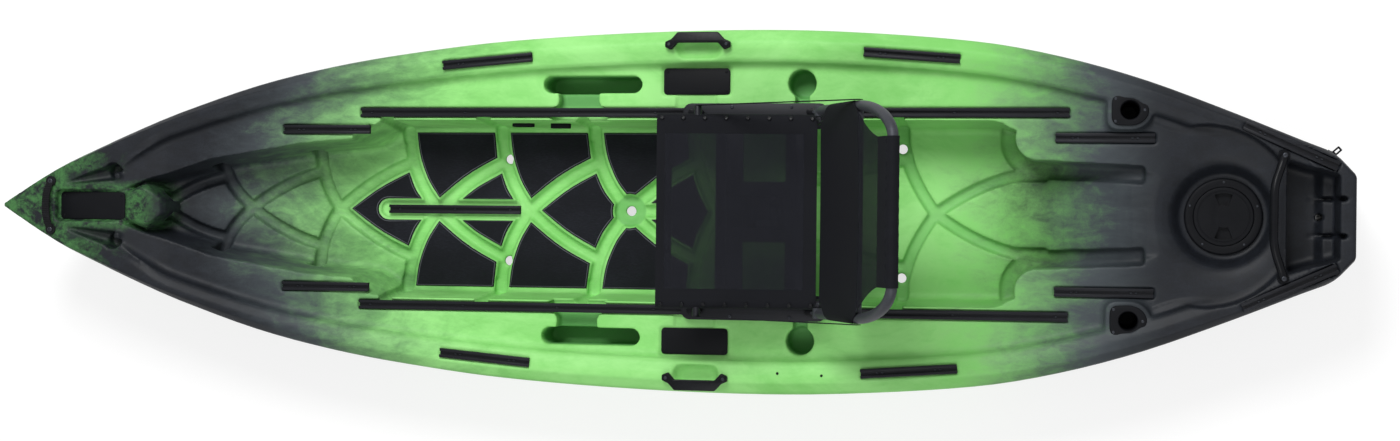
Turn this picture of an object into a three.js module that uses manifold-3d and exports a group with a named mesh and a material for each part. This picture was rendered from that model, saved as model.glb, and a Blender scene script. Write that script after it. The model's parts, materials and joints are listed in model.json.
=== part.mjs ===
// Fishing kayak: rotomoulded hull, deck hardware, floor pads and a swivelling frame seat.
// Millimetres, +Z up, bow towards -X, starboard towards +Y.
// The origin lies on the ground under the middle of the hull.

import * as THREE from 'three';
import { mergeVertices } from 'three/addons/utils/BufferGeometryUtils.js';
import Module from 'manifold-3d';

const wasm = await Module();
wasm.setup();

// Driving dimensions of the hull
const hullLength = 3300;
const hullBeam = 880;
const hullDepth = 322;
const hullWall = 5.5;
const stemHalfWidth = 3;
const gunwaleWidth = 70;
const deckDrop = 35;
const deckWallLean = 8;
const overrun = 12;
const seatGap = 0.3;

// Half widths, sheer and keel along the hull, as shares of half length, half beam and depth
const outlineShares = [
  [-1, 0.007], [-0.918, 0.214], [-0.853, 0.336], [-0.79, 0.445], [-0.726, 0.545], [-0.599, 0.707],
  [-0.472, 0.818], [-0.347, 0.891], [-0.222, 0.944], [-0.039, 0.985], [0.15, 1], [0.3, 0.984],
  [0.487, 0.925], [0.599, 0.845], [0.709, 0.727], [0.818, 0.573], [0.925, 0.407], [0.972, 0.33], [1, 0.223],
];
const sheerShares = [
  [-1, 1.24], [-0.85, 1.165], [-0.7, 1.09], [-0.55, 1.035], [-0.4, 1.008], [-0.2, 1],
  [0.6, 1], [0.8, 1.01], [0.95, 1.03], [1, 1.04],
];
const keelShares = [
  [-1, 1.1], [-0.985, 0.8], [-0.965, 0.54], [-0.94, 0.34], [-0.9, 0.18], [-0.84, 0.08], [-0.75, 0.03],
  [-0.62, 0.006], [-0.5, 0.001], [-0.4, 0], [0.5, 0], [0.6, 0.001], [0.8, 0.02], [0.92, 0.06], [1, 0.11],
];
const gunwaleWidthShares = [[-1, 0.5], [-0.8, 0.62], [-0.5, 0.85], [-0.25, 1], [0.6, 1], [0.9, 0.8], [1, 0.75]];

// Hull section from the keel line to the gunwale, as shares of half width and of local height
const sectionShares = [
  [0, 0], [0.5, 0], [0.75, 0.06], [0.885, 0.2], [0.95, 0.45], [0.985, 0.72], [1, 0.9], [0.988, 0.97], [0.95, 1],
];

// Cockpit, bow floor and rear ramp, one trough along the middle
const cockpitHalfTop = 228;
const cockpitHalfFloor = 210;
const troughCorner = 10;
const floorHeight = 112;
const grooveDepth = 14;
const grooveWidth = 30;
const grooveBulge = 13;
const troughShares = [
  [-0.828, 0.1, 0.21, 0.9], [-0.778, 0.28, 0.37, 0.66], [-0.684, 0.5, 0.6, 0.42], [-0.549, 0.68, 0.75, 0.095],
  [-0.521, 0.71, 0.77, 0], [-0.452, 0.75, 0.8, 0], [-0.446, 0.76, 1, 0], [-0.404, 1, 1, 0], [0.505, 1, 1, 0],
  [0.515, 0.8, 0.99, 0.01], [0.539, 0.6, 0.86, 0.1], [0.576, 0.57, 0.62, 0.2], [0.744, 0.52, 0.55, 0.9],
];
const gateShares = [
  { wall: -0.691, reach: 0.6, node: -0.65, from: -0.779, bend: 0.5 },
  { wall: -0.5485, reach: 0.76, node: -0.521, from: -0.65, bend: 0.45 },
  { wall: -0.407, reach: 1, node: -0.359, from: -0.521, bend: 0.42 },
  { wall: -0.256, reach: 1, node: -0.2115, from: -0.359, bend: 0.42 },
  { wall: -0.108, reach: 1, node: -0.0527, from: -0.2115, bend: 0.42 },
  { wall: 0.0485, reach: 1, node: 0.0836, from: -0.0527, bend: 0.42 },
  { wall: 0.3655, reach: 1, node: 0.4145, from: 0.0836, bend: 0.52 },
];
const forkShare = 0.38;
const ribLength = 105;
const ringGate = gateShares[4];
const tailGrooveShares = { fork: 0.533, start: 0.565, end: 0.718, half: 0.45, wall: 0.508 };

// Scuppers and drains
const scupperRadius = 14;
const scupperRimRadius = 38;
const drainRadius = 9;
const scupperShares = [[-0.246, 0.62], [0.364, 0.76]];

// Deck pockets and recesses
const pocketWidth = 42;
const pocketDepth = 110;
const pocketShares = { front: -0.1625, rear: -0.012, throatFront: -0.147, throatRear: -0.07, bandAt: 0.58 };
const channelWidth = 59;
const channelDepth = 34;
const cupRadius = 34;
const cupDepth = 75;
const cupShares = { along: 0.2267, bandAt: 0.55 };
const cupMouthWidth = 92;
const cupChannelDepth = 18;
const sidePlateLength = 164;
const sidePlateShares = { along: 0.0703, bandAt: 0.6, width: 0.595 };
const platePocketShare = 0.31;
const plateThickness = 4;
const plateCorner = 9;
const plateRecess = 6;
const plateMargin = 5;
const bowPlateLength = 174;
const bowPlateWidth = 68;
const bowPlateShare = -0.862;
const bowDeckHeight = 366;
const scoopShares = { tip: -0.893, hole: -0.83, end: -0.79, tipHalf: 0.13, holeHalf: 0.195, endHalf: 0.21 };
const scoopHalfWidth = 22;
const scoopDepth = 40;
const basinShares = {
  front: -0.812, rear: 0.94, stations: [-0.75, -0.68, -0.55, -0.4, -0.2, 0, 0.25, 0.45, 0.6, 0.72, 0.83],
};

// Tracks
const trackWidth = 22;
const trackHeight = 12;
const trackLength = 228.6;
const trackProud = 4;
const trackMargin = 2.5;
const bowTrackOffset = 197;
const rearTrackShare = 0.4114;
const sternTrackInset = 25;
const slotWidth = 8.5;
const slotUndercut = 14.5;
const slotLip = 3;
const slotDepth = 9;
const railLength = 1748;
const railSpacing = 480;
const railShare = 0.0812;
const floorTrackLength = 351;
const floorTrackShare = -0.3336;
const floorTrackRecess = 43;

// Hatch and its bowl
const hatchShare = 0.826;
const hatchHeight = 232;
const bowlRadius = 97;
const bowlFlare = 36;
const hatchRingRadius = 90;
const hatchRingHeight = 9;
const hatchNeckRadius = 71;
const hatchBore = 65;
const hatchNeckDepth = 14;
const neckClearance = 1;
const hatchLedge = 4;
const lidClearance = 0.6;
const lidThickness = 7;
const lidRise = 2;
const lidRecessDepth = 6;
const lidRecessInner = 26;
const lidRecessOuter = 60;
const lidRecessHalfAngle = 22;
const sealRadius = 2;

// Tail well, stern bar and drain
const wellShares = { front: 0.91, step: 0.958, rear: 0.978, frontHalf: 128, rearHalf: 96 };
const wellCorner = 14;
const wellFloor = 205;
const wellStep = 26;
const barRadius = 10;
const barShare = 0.889;
const barTaper = 76;
const barEndShare = 0.903;
const barEndInset = 54.4;
const barRise = 16;
const barPadThickness = 5;
const barPadRadius = 10;
const spotFaceDepth = 1.5;
const drainAngle = 42;
const drainHeight = 272;
const drainShare = 0.972;
const drainBossRadius = 15;
const drainBossDepth = 6;
const drainPlugRadius = 10;
const drainPlugDepth = 5;
const drainLoopWidth = 13;
const drainLoopLength = 20;
const drainLoopBar = 4;

// Handles
const handleLength = 160;
const handleWidth = 26;
const handleHeight = 15;
const handleBow = 17;
const handleGripShare = 0.62;
const handleTipShare = 0.5;
const handleGripThickness = 8;
const handleShare = 0.0764;
const handleInset = 37.5;
const handleScoopWidth = 46;
const handleScoopLength = 108;
const handleScoopDepth = 24;
const handleScoopCorner = 18;
const bowHandleShare = -0.924;
const bowHandleHalf = 61;
const bowHandleWidth = 19;
const bowHandleThickness = 5;
const bowHandleRise = 16;
const bowHandleSweep = 6;
const bowHandlePad = 13;
const bowHandleSteps = 12;

// Rod holders
const rodShare = 0.6945;
const rodOffsetShare = 0.5568;
const rodBore = 21.5;
const rodTubeWall = 3;
const rodTubeLength = 190;
const rodFlangeLength = 85;
const rodFlangeWidth = 72;
const rodFlangeThickness = 6;
const rodPadMargin = 9;
const rodPadHeight = 312;
const rodTubeClearance = 1.5;

// Floor pads
const padThickness = 4;
const padMargin = 6;
const padEdgeInset = 13;

// Cockpit wall fittings
const glandLength = 46;
const glandWidth = 17;
const glandThickness = 5;
const glandShare = -0.2055;
const bracketLength = 40;
const bracketWidth = 12;
const bracketThickness = 9;
const bracketShare = -0.147;
const fittingHeight = 212;

// Seat base
const seatFront = 63;
const seatLength = 370;
const seatHalfWidth = 223;
const seatFrontHeight = 500;
const seatRearHeight = 445;
const basePlateLength = 353;
const basePlateInner = 200;
const basePlateOuter = 262;
const basePlateThickness = 5;
const basePlateCorner = 20;
const basePlateSetback = 22;
const bridgeThickness = 6;
const bridgeReach = 218;
const bridgeBars = { frontFrom: 128, frontTo: 172, rearFrom: 281, rearTo: 345 };
const bridgeCentreHalf = 73;
const swivelSetback = 222;
const swivelRadius = 62;
const swivelHole = 29;
const swivelBridgeBar = 9;
const swivelThickness = 6;
const swivelSpigotRadius = 36;
const swivelRunningGap = 0.4;
const cheekThickness = 5;
const cheekHalfSpread = 40;
const cheekWaistShare = 0.7;
const knobRadius = 11;
const knobLobe = 8;
const knobLobeOffset = 11;
const knobHeight = 12;
const knobSetbacks = { front: 55, rear: 343 };

// Seat top
const railTubeRadius = 11;
const railTubeHalfSpread = 214;
const crossBarWidth = 24;
const crossBarThickness = 8;
const crossBarDrop = 10;
const slingThickness = 2.5;
const slingSag = 12;
const hingeAhead = 8;
const hingeRise = 30;
const hingePinRadius = 4;
const hingePinLength = 33;
const hingePinHead = 3;
const hingeLugThickness = 6;
const hingeLugRadius = 11;
const lugWebWidth = 13;

// Backrest
const backAngle = 27;
const backHalfWidth = 234;
const backTubeRadius = 12;
const backHeight = 455;
const backShoulder = 228;
const backTopHalf = 156;
const backCrossAt = 262;
const backCrossRadius = 7;
const backSlingLow = 42;
const backSlingHalf = 228;
const backSlingTopHalf = 150;
const backCutLow = 255;
const backCutRise = 75;
const backCutDip = 12;
const strapWidth = 18;
const strapThickness = 1.6;
const strapFrontSetback = 92;
const strapBackAt = 262;
const strapBossRadius = 9;

const halfLength = hullLength / 2;
const halfBeam = hullBeam / 2;
const bothSides = [{ name: 'starboard', sign: 1 }, { name: 'port', sign: -1 }];

// Materials
function finish(color, roughness, metalness) {
  return new THREE.MeshStandardMaterial({ color, roughness, metalness });
}

const moulded = finish(0x6fd64a, 0.45, 0);
const blackPlastic = finish(0x1c1d20, 0.5, 0);
const blackAluminium = finish(0x191b1f, 0.35, 0.8);
const foam = finish(0x1e1f24, 0.9, 0);
const mesh = finish(0x22262a, 0.85, 0);
const webbing = finish(0x17181a, 0.9, 0);
const rubber = finish(0x101012, 0.8, 0);

// Solids
function solid(geometry) {
  const bare = geometry.clone();
  bare.deleteAttribute('normal');
  bare.deleteAttribute('uv');
  const merged = mergeVertices(bare);
  const vertProperties = Float32Array.from(merged.attributes.position.array);
  const triVerts = Uint32Array.from(merged.index.array);
  return new wasm.Manifold(new wasm.Mesh({ numProp: 3, vertProperties, triVerts }));
}

function geometryOf(body) {
  const { vertProperties, triVerts } = body.getMesh();
  const geometry = new THREE.BufferGeometry();
  geometry.setAttribute('position', new THREE.BufferAttribute(Float32Array.from(vertProperties), 3));
  geometry.setIndex(new THREE.BufferAttribute(Uint32Array.from(triVerts), 1));
  geometry.computeVertexNormals();
  return geometry;
}

const joined = (bodies) => bodies.reduce((whole, body) => whole.add(body));
const without = (body, cuts) => cuts.reduce((left, cut) => left.subtract(cut), body);

// Smooth function through a table of [place, value] pairs
function curveThrough(table) {
  const places = table.map((row) => row[0]);
  const values = table.map((row) => row[1]);
  const last = places.length - 1;
  const slopes = places.map((_, i) => {
    const before = Math.max(i - 1, 0);
    const after = Math.min(i + 1, last);
    return (values[after] - values[before]) / (places[after] - places[before]);
  });
  return (place) => {
    const at = THREE.MathUtils.clamp(place, places[0], places[last]);
    const i = Math.min(places.findLastIndex((value) => value <= at), last - 1);
    const span = places[i + 1] - places[i];
    const t = (at - places[i]) / span;
    const t2 = t * t;
    const t3 = t2 * t;
    return (2 * t3 - 3 * t2 + 1) * values[i] + (t3 - 2 * t2 + t) * span * slopes[i]
      + (3 * t2 - 2 * t3) * values[i + 1] + (t3 - t2) * span * slopes[i + 1];
  };
}

// Straight-line function through a table, for breaks that stay sharp
function linesThrough(table, column) {
  return (place) => {
    const at = THREE.MathUtils.clamp(place, table[0][0], table.at(-1)[0]);
    const i = Math.min(table.findLastIndex((row) => row[0] <= at), table.length - 2);
    const t = (at - table[i][0]) / (table[i + 1][0] - table[i][0]);
    return THREE.MathUtils.lerp(table[i][column], table[i + 1][column], t);
  };
}

const outlineCurve = curveThrough(outlineShares);
const sheerCurve = curveThrough(sheerShares);
const keelCurve = curveThrough(keelShares);
const gunwaleCurve = curveThrough(gunwaleWidthShares);
const halfBeamAt = (x) => Math.max(halfBeam * outlineCurve(x / halfLength), stemHalfWidth);
const sheerAt = (x) => hullDepth * sheerCurve(x / halfLength);
const keelAt = (x) => hullDepth * keelCurve(x / halfLength);
const gunwaleInnerAt = (x) => halfBeamAt(x) - gunwaleWidth * gunwaleCurve(x / halfLength);
const deckAt = (x) => sheerAt(x) - deckDrop;

const troughFloorHalf = linesThrough(troughShares, 1);
const troughTopHalf = linesThrough(troughShares, 2);
const troughRise = linesThrough(troughShares, 3);
const floorHalfAt = (x) => cockpitHalfFloor * troughFloorHalf(x / halfLength);
const topHalfAt = (x) => cockpitHalfTop * troughTopHalf(x / halfLength);
const floorAt = (x) => THREE.MathUtils.lerp(floorHeight, deckAt(x), troughRise(x / halfLength));

// Loft through rings of points, each ring anticlockwise seen from +X
function loft(rings) {
  const count = rings[0].length;
  const positions = rings.flat().flatMap((point) => [point.x, point.y, point.z]);
  const index = [];
  for (let i = 0; i < count; i += 1) {
    const next = (i + 1) % count;
    for (let ring = 0; ring + 1 < rings.length; ring += 1) {
      const here = ring * count;
      const there = here + count;
      index.push(here + i, here + next, there + next, here + i, there + next, there + i);
    }
  }
  const end = (rings.length - 1) * count;
  for (let i = 1; i + 1 < count; i += 1) {
    index.push(0, i + 1, i, end, end + i, end + i + 1);
  }
  const geometry = new THREE.BufferGeometry();
  geometry.setAttribute('position', new THREE.BufferAttribute(Float32Array.from(positions), 3));
  geometry.setIndex(index);
  return solid(geometry);
}

// Trough section with chamfered floor corners
function troughRing(x, middle, floorHalf, topHalf, low, high, corner) {
  const bevel = Math.min(corner, floorHalf / 2);
  return [
    [middle - floorHalf + bevel, low], [middle + floorHalf - bevel, low], [middle + floorHalf, low + bevel],
    [middle + topHalf, high], [middle - topHalf, high], [middle - floorHalf, low + bevel],
  ].map(([y, z]) => new THREE.Vector3(x, y, z));
}

function slab(shape, low, high, curveSegments = 1) {
  const geometry = new THREE.ExtrudeGeometry(shape, { depth: high - low, bevelEnabled: false, curveSegments });
  return geometry.translate(0, 0, low);
}

function polygon(points) {
  return new THREE.Shape(points.map(([x, y]) => new THREE.Vector2(x, y)));
}

function roundedOutline(x0, x1, y0, y1, corner) {
  const radius = Math.min(corner, (x1 - x0) / 2, (y1 - y0) / 2);
  const shape = new THREE.Shape();
  shape.moveTo(x0 + radius, y0);
  shape.lineTo(x1 - radius, y0);
  shape.absarc(x1 - radius, y0 + radius, radius, -Math.PI / 2, 0);
  shape.lineTo(x1, y1 - radius);
  shape.absarc(x1 - radius, y1 - radius, radius, 0, Math.PI / 2);
  shape.lineTo(x0 + radius, y1);
  shape.absarc(x0 + radius, y1 - radius, radius, Math.PI / 2, Math.PI);
  shape.lineTo(x0, y0 + radius);
  shape.absarc(x0 + radius, y0 + radius, radius, Math.PI, 1.5 * Math.PI);
  return shape;
}

// Strip of one width along a plan curve
function strip(curve, steps, width) {
  const left = [];
  const right = [];
  for (let step = 0; step <= steps; step += 1) {
    const point = curve.getPoint(step / steps);
    const along = curve.getTangent(step / steps);
    left.push(new THREE.Vector2(point.x - along.y * width / 2, point.y + along.x * width / 2));
    right.unshift(new THREE.Vector2(point.x + along.y * width / 2, point.y - along.x * width / 2));
  }
  return new THREE.Shape(left.concat(right));
}

// Moves each vertex up by the height of a surface under it
function draped(geometry, heightAt) {
  const places = geometry.attributes.position;
  for (let i = 0; i < places.count; i += 1) {
    places.setZ(i, places.getZ(i) + heightAt(places.getX(i), places.getY(i)));
  }
  return geometry;
}

function cylinder(radius, low, high, x, y, sides) {
  const geometry = new THREE.CylinderGeometry(radius, radius, high - low, sides);
  return solid(geometry.rotateX(Math.PI / 2).translate(x, y, (low + high) / 2));
}

function crossCylinder(radius, from, to, x, z, sides) {
  const geometry = new THREE.CylinderGeometry(radius, radius, to - from, sides);
  return solid(geometry.translate(x, (from + to) / 2, z));
}

const bandAt = (x, share) => {
  const inner = railSpacing / 2 + trackWidth / 2;
  return THREE.MathUtils.lerp(inner, gunwaleInnerAt(x) - deckWallLean, share);
};

// Outer skin and the space inside it
function hullSkin(inset, places) {
  const ring = (share) => {
    const x = share * halfLength;
    const half = halfBeamAt(x) - inset;
    const low = keelAt(x) + inset;
    const high = sheerAt(x) - inset;
    const right = sectionShares.map(([across, up]) => (
      new THREE.Vector3(x, across * half, THREE.MathUtils.lerp(low, high, up))));
    const left = right.slice(1).reverse().map((point) => new THREE.Vector3(x, -point.y, point.z));
    return right.concat(left);
  };
  return loft(places.map(ring));
}

const skinPlaces = [
  -1, -0.985, -0.965, -0.94, -0.9, -0.85, -0.79, -0.72, -0.64, -0.55, -0.45, -0.33, -0.2, -0.04, 0.15,
  0.3, 0.43, 0.55, 0.66, 0.76, 0.86, 0.93, 0.972, 0.99, 1,
];
const spacePlaces = [-0.94, -0.88, -0.79, -0.66, -0.5, -0.33, -0.12, 0.12, 0.35, 0.55, 0.7, 0.83, 0.92, 0.965, 0.985];

// Side decks: everything inside the gunwales down to the deck
function basin(grow) {
  const { front, rear, stations } = basinShares;
  const rings = [front, ...stations, rear].map((share, i, all) => {
    let x = share * halfLength;
    if (i === 0) x -= grow;
    if (i === all.length - 1) x += grow;
    const inner = gunwaleInnerAt(x) + grow;
    const low = deckAt(x) - grow;
    return troughRing(x, 0, inner - deckWallLean, inner, low, sheerAt(x) + overrun, deckWallLean);
  });
  return loft(rings);
}

function trough(grow, drop) {
  const rings = troughShares.map(([share]) => {
    const x = share * halfLength;
    const top = topHalfAt(x) + grow;
    const bottom = floorHalfAt(x) + grow;
    const low = floorAt(x) - drop;
    return troughRing(x + Math.sign(share) * grow, 0, bottom, top, low, sheerAt(x) + overrun, troughCorner);
  });
  return loft(rings);
}

// Groove pattern of the floor: pointed arches that meet on the centre line
function gateCurve(gate, sign) {
  const x = gate.wall * halfLength;
  const reach = gate.reach * cockpitHalfFloor * sign;
  const node = new THREE.Vector2(gate.node * halfLength, 0);
  return new THREE.QuadraticBezierCurve(new THREE.Vector2(x, reach), new THREE.Vector2(x, reach * gate.bend), node);
}

function archCurve(gate, sign) {
  const node = new THREE.Vector2(gate.from * halfLength, 0);
  const fork = gateCurve(gate, sign).getPoint(forkShare);
  const middle = node.clone().lerp(fork, 0.5);
  middle.y += 2 * grooveBulge * sign;
  return new THREE.QuadraticBezierCurve(node, middle, fork);
}

function ribCurve() {
  const front = ringGate.node * halfLength;
  return new THREE.LineCurve(new THREE.Vector2(front, 0), new THREE.Vector2(front + ribLength, 0));
}

function tailCurves(sign) {
  const { fork, start, end, half, wall } = tailGrooveShares;
  const side = half * cockpitHalfFloor * sign;
  const node = new THREE.Vector2(gateShares.at(-1).node * halfLength, 0);
  const bend = new THREE.Vector2(fork * halfLength, side);
  const middle = node.clone().lerp(bend, 0.5);
  middle.y += 2 * grooveBulge * sign;
  const foot = new THREE.Vector2(wall * halfLength, cockpitHalfFloor * sign);
  const footBend = new THREE.Vector2(wall * halfLength, side);
  return [
    new THREE.QuadraticBezierCurve(node, middle, bend),
    new THREE.LineCurve(bend, new THREE.Vector2(end * halfLength, side)),
    new THREE.QuadraticBezierCurve(foot, footBend, new THREE.Vector2(start * halfLength, side)),
  ];
}

function grooveBodies(width, low, high) {
  const body = (curve, steps) => solid(draped(slab(strip(curve, steps, width), low, high), floorAt));
  return [body(ribCurve(), 1), ...bothSides.flatMap(({ sign }) => [
    ...gateShares.map((gate) => body(gateCurve(gate, sign), 3)),
    ...gateShares.map((gate) => body(archCurve(gate, sign), 2)),
    ...tailCurves(sign).map((curve) => body(curve, curve.isLineCurve ? 2 : 3)),
  ])];
}

const scupperPlaces = [
  ...scupperShares.flatMap(([along, across]) => bothSides.map(({ sign }) => (
    [along * halfLength, across * cockpitHalfFloor * sign]))),
  [ringGate.node * halfLength, 0],
];
const ringPlace = scupperPlaces.at(-1);

// Recess and place of every track
const railOffset = railSpacing / 2;
const railSeat = deckAt(railShare * halfLength) - trackHeight + trackProud;
const gunwaleTrackOffset = (x) => gunwaleInnerAt(x) + trackWidth;
const heading = (x, offsetAt) => {
  const step = trackLength / 2;
  return Math.atan2(offsetAt(x + step) - offsetAt(x - step), trackLength);
};
const deckSeat = (x) => deckAt(x) - trackHeight + trackProud;
const gunwaleSeat = (x) => sheerAt(x) - trackHeight + trackProud;
const trackFamilies = [
  { name: 'bow_track', along: -0.5012, offset: () => bowTrackOffset, seat: deckSeat, turn: 0 },
  { name: 'gunwale_track_front', along: -0.2438, offset: gunwaleTrackOffset, seat: gunwaleSeat, turn: 1 },
  { name: 'gunwale_track_rear', along: 0.3873, offset: gunwaleTrackOffset, seat: gunwaleSeat, turn: 1 },
  { name: 'rear_track', along: 0.6603, offset: () => rearTrackShare * halfBeam, seat: deckSeat, turn: 0 },
  { name: 'stern_track', along: 0.9125, offset: (x) => halfBeamAt(x) - sternTrackInset, seat: gunwaleSeat, turn: 1 },
];
const tracks = [
  ...trackFamilies.flatMap(({ name, along, offset, seat, turn }) => bothSides.map(({ name: side, sign }) => {
    const x = along * halfLength;
    const angle = turn * heading(x, offset) * sign;
    return { name: `${name}_${side}`, x, y: offset(x) * sign, z: seat(x), angle, length: trackLength };
  })),
  ...bothSides.map(({ name, sign }) => (
    { name: `rail_${name}`, x: railShare * halfLength, y: railOffset * sign, z: railSeat, angle: 0, length: railLength })),
];
const floorTrack = {
  name: 'floor_track', x: floorTrackShare * halfLength, y: 0, z: floorHeight - grooveDepth, angle: 0,
  length: floorTrackLength,
};

function trackRecess(track, grow) {
  const length = track.length + 2 * (trackMargin + grow);
  const width = trackWidth + 2 * (trackMargin + grow);
  const height = trackHeight + overrun + grow;
  const box = new THREE.BoxGeometry(length, width, height);
  const middle = track.z - grow + height / 2;
  return solid(box.rotateZ(track.angle).translate(track.x, track.y, middle));
}

function floorTrackBay(grow) {
  const half = floorTrackRecess / 2 + grow;
  const front = floorTrack.x - floorTrack.length / 2 - half;
  const rear = floorTrack.x + floorTrack.length / 2 + half;
  return solid(slab(roundedOutline(front, rear, -half, half, half), floorTrack.z, floorHeight + overrun, 2));
}

// Side pockets with a channel under the rail into the cockpit
function pocketPlan(sign, grow) {
  const { front, rear, throatFront, throatRear, bandAt: share } = pocketShares;
  const x0 = front * halfLength - grow;
  const x1 = rear * halfLength + grow;
  const middle = bandAt((x0 + x1) / 2, share);
  const half = pocketWidth / 2 + grow;
  const main = roundedOutline(x0, x1, middle - half, middle + half, half);
  const channel = ringGate.wall * halfLength;
  const inner = cockpitHalfTop - hullWall;
  const throat = [
    [throatFront * halfLength, middle], [channel - channelWidth / 2, railOffset], [channel - channelWidth / 2, inner],
    [channel + channelWidth / 2, inner], [channel + channelWidth / 2, railOffset], [throatRear * halfLength, middle],
  ];
  const flip = (geometry) => (sign > 0 ? solid(geometry) : solid(geometry).mirror([0, 1, 0]));
  const deck = deckAt(channel);
  return {
    main: flip(slab(main, deck - pocketDepth - grow, deck + overrun)),
    channel: flip(slab(polygon(throat.map(([x, y]) => [x, y])), deck - channelDepth - grow, deck + overrun)),
  };
}

function cupPlan(sign, grow) {
  const x = cupShares.along * halfLength;
  const y = bandAt(x, cupShares.bandAt);
  const deck = deckAt(x);
  const inner = cockpitHalfTop - hullWall;
  const mouth = [
    [x - cupRadius / 2, y], [x - cupRadius / 2, railOffset + trackWidth], [x - cupMouthWidth / 2, inner],
    [x + cupMouthWidth / 2, inner], [x + cupRadius / 2, railOffset + trackWidth], [x + cupRadius / 2, y],
  ];
  const channel = solid(slab(polygon(mouth), deck - cupChannelDepth - grow, deck + overrun));
  return {
    cup: cylinder(cupRadius + grow, deck - cupDepth - grow, deck + overrun, x, y * sign, 16),
    channel: sign > 0 ? channel : channel.mirror([0, 1, 0]),
  };
}

const plateBoxes = {
  bow: { x: bowPlateShare * halfLength, y: 0, length: bowPlateLength, width: bowPlateWidth, top: bowDeckHeight },
  side: {
    x: sidePlateShares.along * halfLength,
    y: bandAt(sidePlateShares.along * halfLength, sidePlateShares.bandAt),
    length: sidePlateLength,
    width: sidePlateShares.width * (bandAt(sidePlateShares.along * halfLength, 1) - bandAt(0, 0)),
    top: deckAt(sidePlateShares.along * halfLength),
  },
};

function plateRecessBody({ x, y, length, width, top }, sign, high) {
  const halfX = length / 2 + plateMargin;
  const halfY = width / 2 + plateMargin;
  const outline = roundedOutline(x - halfX, x + halfX, sign * y - halfY, sign * y + halfY, plateCorner);
  return solid(slab(outline, top - plateRecess, high));
}

function plateLining(sign) {
  const { x, y, length, width, top } = plateBoxes.side;
  const half = length / 2 + plateMargin + hullWall;
  const inner = sign * (railOffset - hullWall);
  const outer = sign * (y + width / 2 + plateMargin + hullWall);
  const outline = roundedOutline(x - half, x + half, Math.min(inner, outer), Math.max(inner, outer), plateCorner);
  return solid(slab(outline, top - plateRecess - hullWall, top));
}

function platePocket(sign) {
  const { x, y, length, width, top } = plateBoxes.side;
  const half = length * platePocketShare;
  const inner = railOffset;
  const outline = roundedOutline(x - half, x + half, Math.min(sign * inner, sign * (y - width / 2)),
    Math.max(sign * inner, sign * (y - width / 2)), plateCorner / 2);
  return solid(slab(outline, top - plateRecess, top + overrun));
}

function scoop(sign, grow) {
  const { tip, hole, end, tipHalf, holeHalf, endHalf } = scoopShares;
  const places = [[tip, tipHalf, 0.1, 0.02], [hole, holeHalf, 1, 1], [end, endHalf, 1, 1]];
  const rings = places.map(([share, across, width, depth]) => {
    const x = share * halfLength - (share === tip ? grow : 0);
    const half = scoopHalfWidth * width + grow;
    const low = sheerAt(x) - scoopDepth * depth - grow;
    return troughRing(x, across * halfBeam * sign, half, half, low, sheerAt(x) + overrun, half / 4);
  });
  return loft(rings);
}

// Raised nose between the bow plate and the bow floor
function prowNose() {
  const rear = plateBoxes.bow.x + plateBoxes.bow.length / 2;
  const foot = gateShares[0].from * halfLength;
  const front = basinShares.front * halfLength - overrun;
  const half = plateBoxes.bow.width / 2;
  const ring = (x, width, high) => troughRing(x, 0, width, width * 0.8, keelAt(x) + hullDepth / 2, high, hullWall);
  return loft([
    ring(front, half, sheerAt(front) - hullWall), ring(rear + overrun, half, bowDeckHeight),
    ring(foot, half * 1.3, floorAt(foot) - hullWall),
  ]);
}

function handleScoop(sign, grow) {
  const x = handleShare * halfLength;
  const outer = halfBeamAt(x) - handleInset + handleWidth / 2;
  const half = handleScoopLength / 2 + grow;
  const inner = outer - handleScoopWidth - grow;
  const high = sheerAt(x) + overrun;
  const outline = roundedOutline(x - half, x + half, inner, outer + grow, handleScoopCorner + grow);
  const body = solid(slab(outline, sheerAt(x) - handleScoopDepth - grow, high));
  return sign > 0 ? body : body.mirror([0, 1, 0]);
}

function rodOutline(margin) {
  const length = rodFlangeLength / 2 + margin;
  const width = rodFlangeWidth / 2 + margin;
  const shape = new THREE.Shape();
  shape.absellipse(0, 0, length, width, -Math.PI / 2, Math.PI / 2);
  shape.lineTo(-length * 0.55, width);
  shape.quadraticCurveTo(-length, width, -length, width * 0.45);
  shape.lineTo(-length, -width * 0.45);
  shape.quadraticCurveTo(-length, -width, -length * 0.55, -width);
  return shape;
}

function hatchBowl(grow) {
  const x = hatchShare * halfLength;
  const deck = deckAt(x) + overrun + deckDrop;
  const profile = [
    [0, hatchHeight - grow], [bowlRadius + grow, hatchHeight - grow],
    [bowlRadius + bowlFlare + grow, deckAt(x)], [bowlRadius + bowlFlare + grow, deck], [0, deck],
  ].map(([radius, z]) => new THREE.Vector2(radius, z));
  return solid(new THREE.LatheGeometry(profile, 24).rotateX(Math.PI / 2).translate(x, 0, 0));
}

function tailWell(grow) {
  const { front, step, rear, frontHalf, rearHalf } = wellShares;
  const high = sheerAt(halfLength) + overrun;
  const floor = (share, z, half) => {
    const x = share * halfLength;
    return troughRing(x, 0, half + grow, half + grow, z - grow, high, wellCorner);
  };
  const stepHalf = THREE.MathUtils.lerp(frontHalf, rearHalf, (step - front) / (rear - front));
  const main = loft([
    floor(front, wellFloor, frontHalf).map((point) => point.setX(point.x - grow)),
    floor(step, wellFloor, stepHalf),
    floor(rear, wellFloor + wellStep, rearHalf).map((point) => point.setX(point.x + grow)),
  ]);
  return main;
}

// Drain fitting on the starboard stern corner, along its own slanted axis
const drainX = drainShare * halfLength;
const drainTurn = THREE.MathUtils.degToRad(drainAngle);
const drainOut = new THREE.Vector3(Math.cos(drainTurn), Math.sin(drainTurn), 0);
const drainSeat = new THREE.Vector3(drainX, halfBeamAt(drainX), drainHeight).addScaledVector(drainOut, -drainBossDepth);

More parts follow.
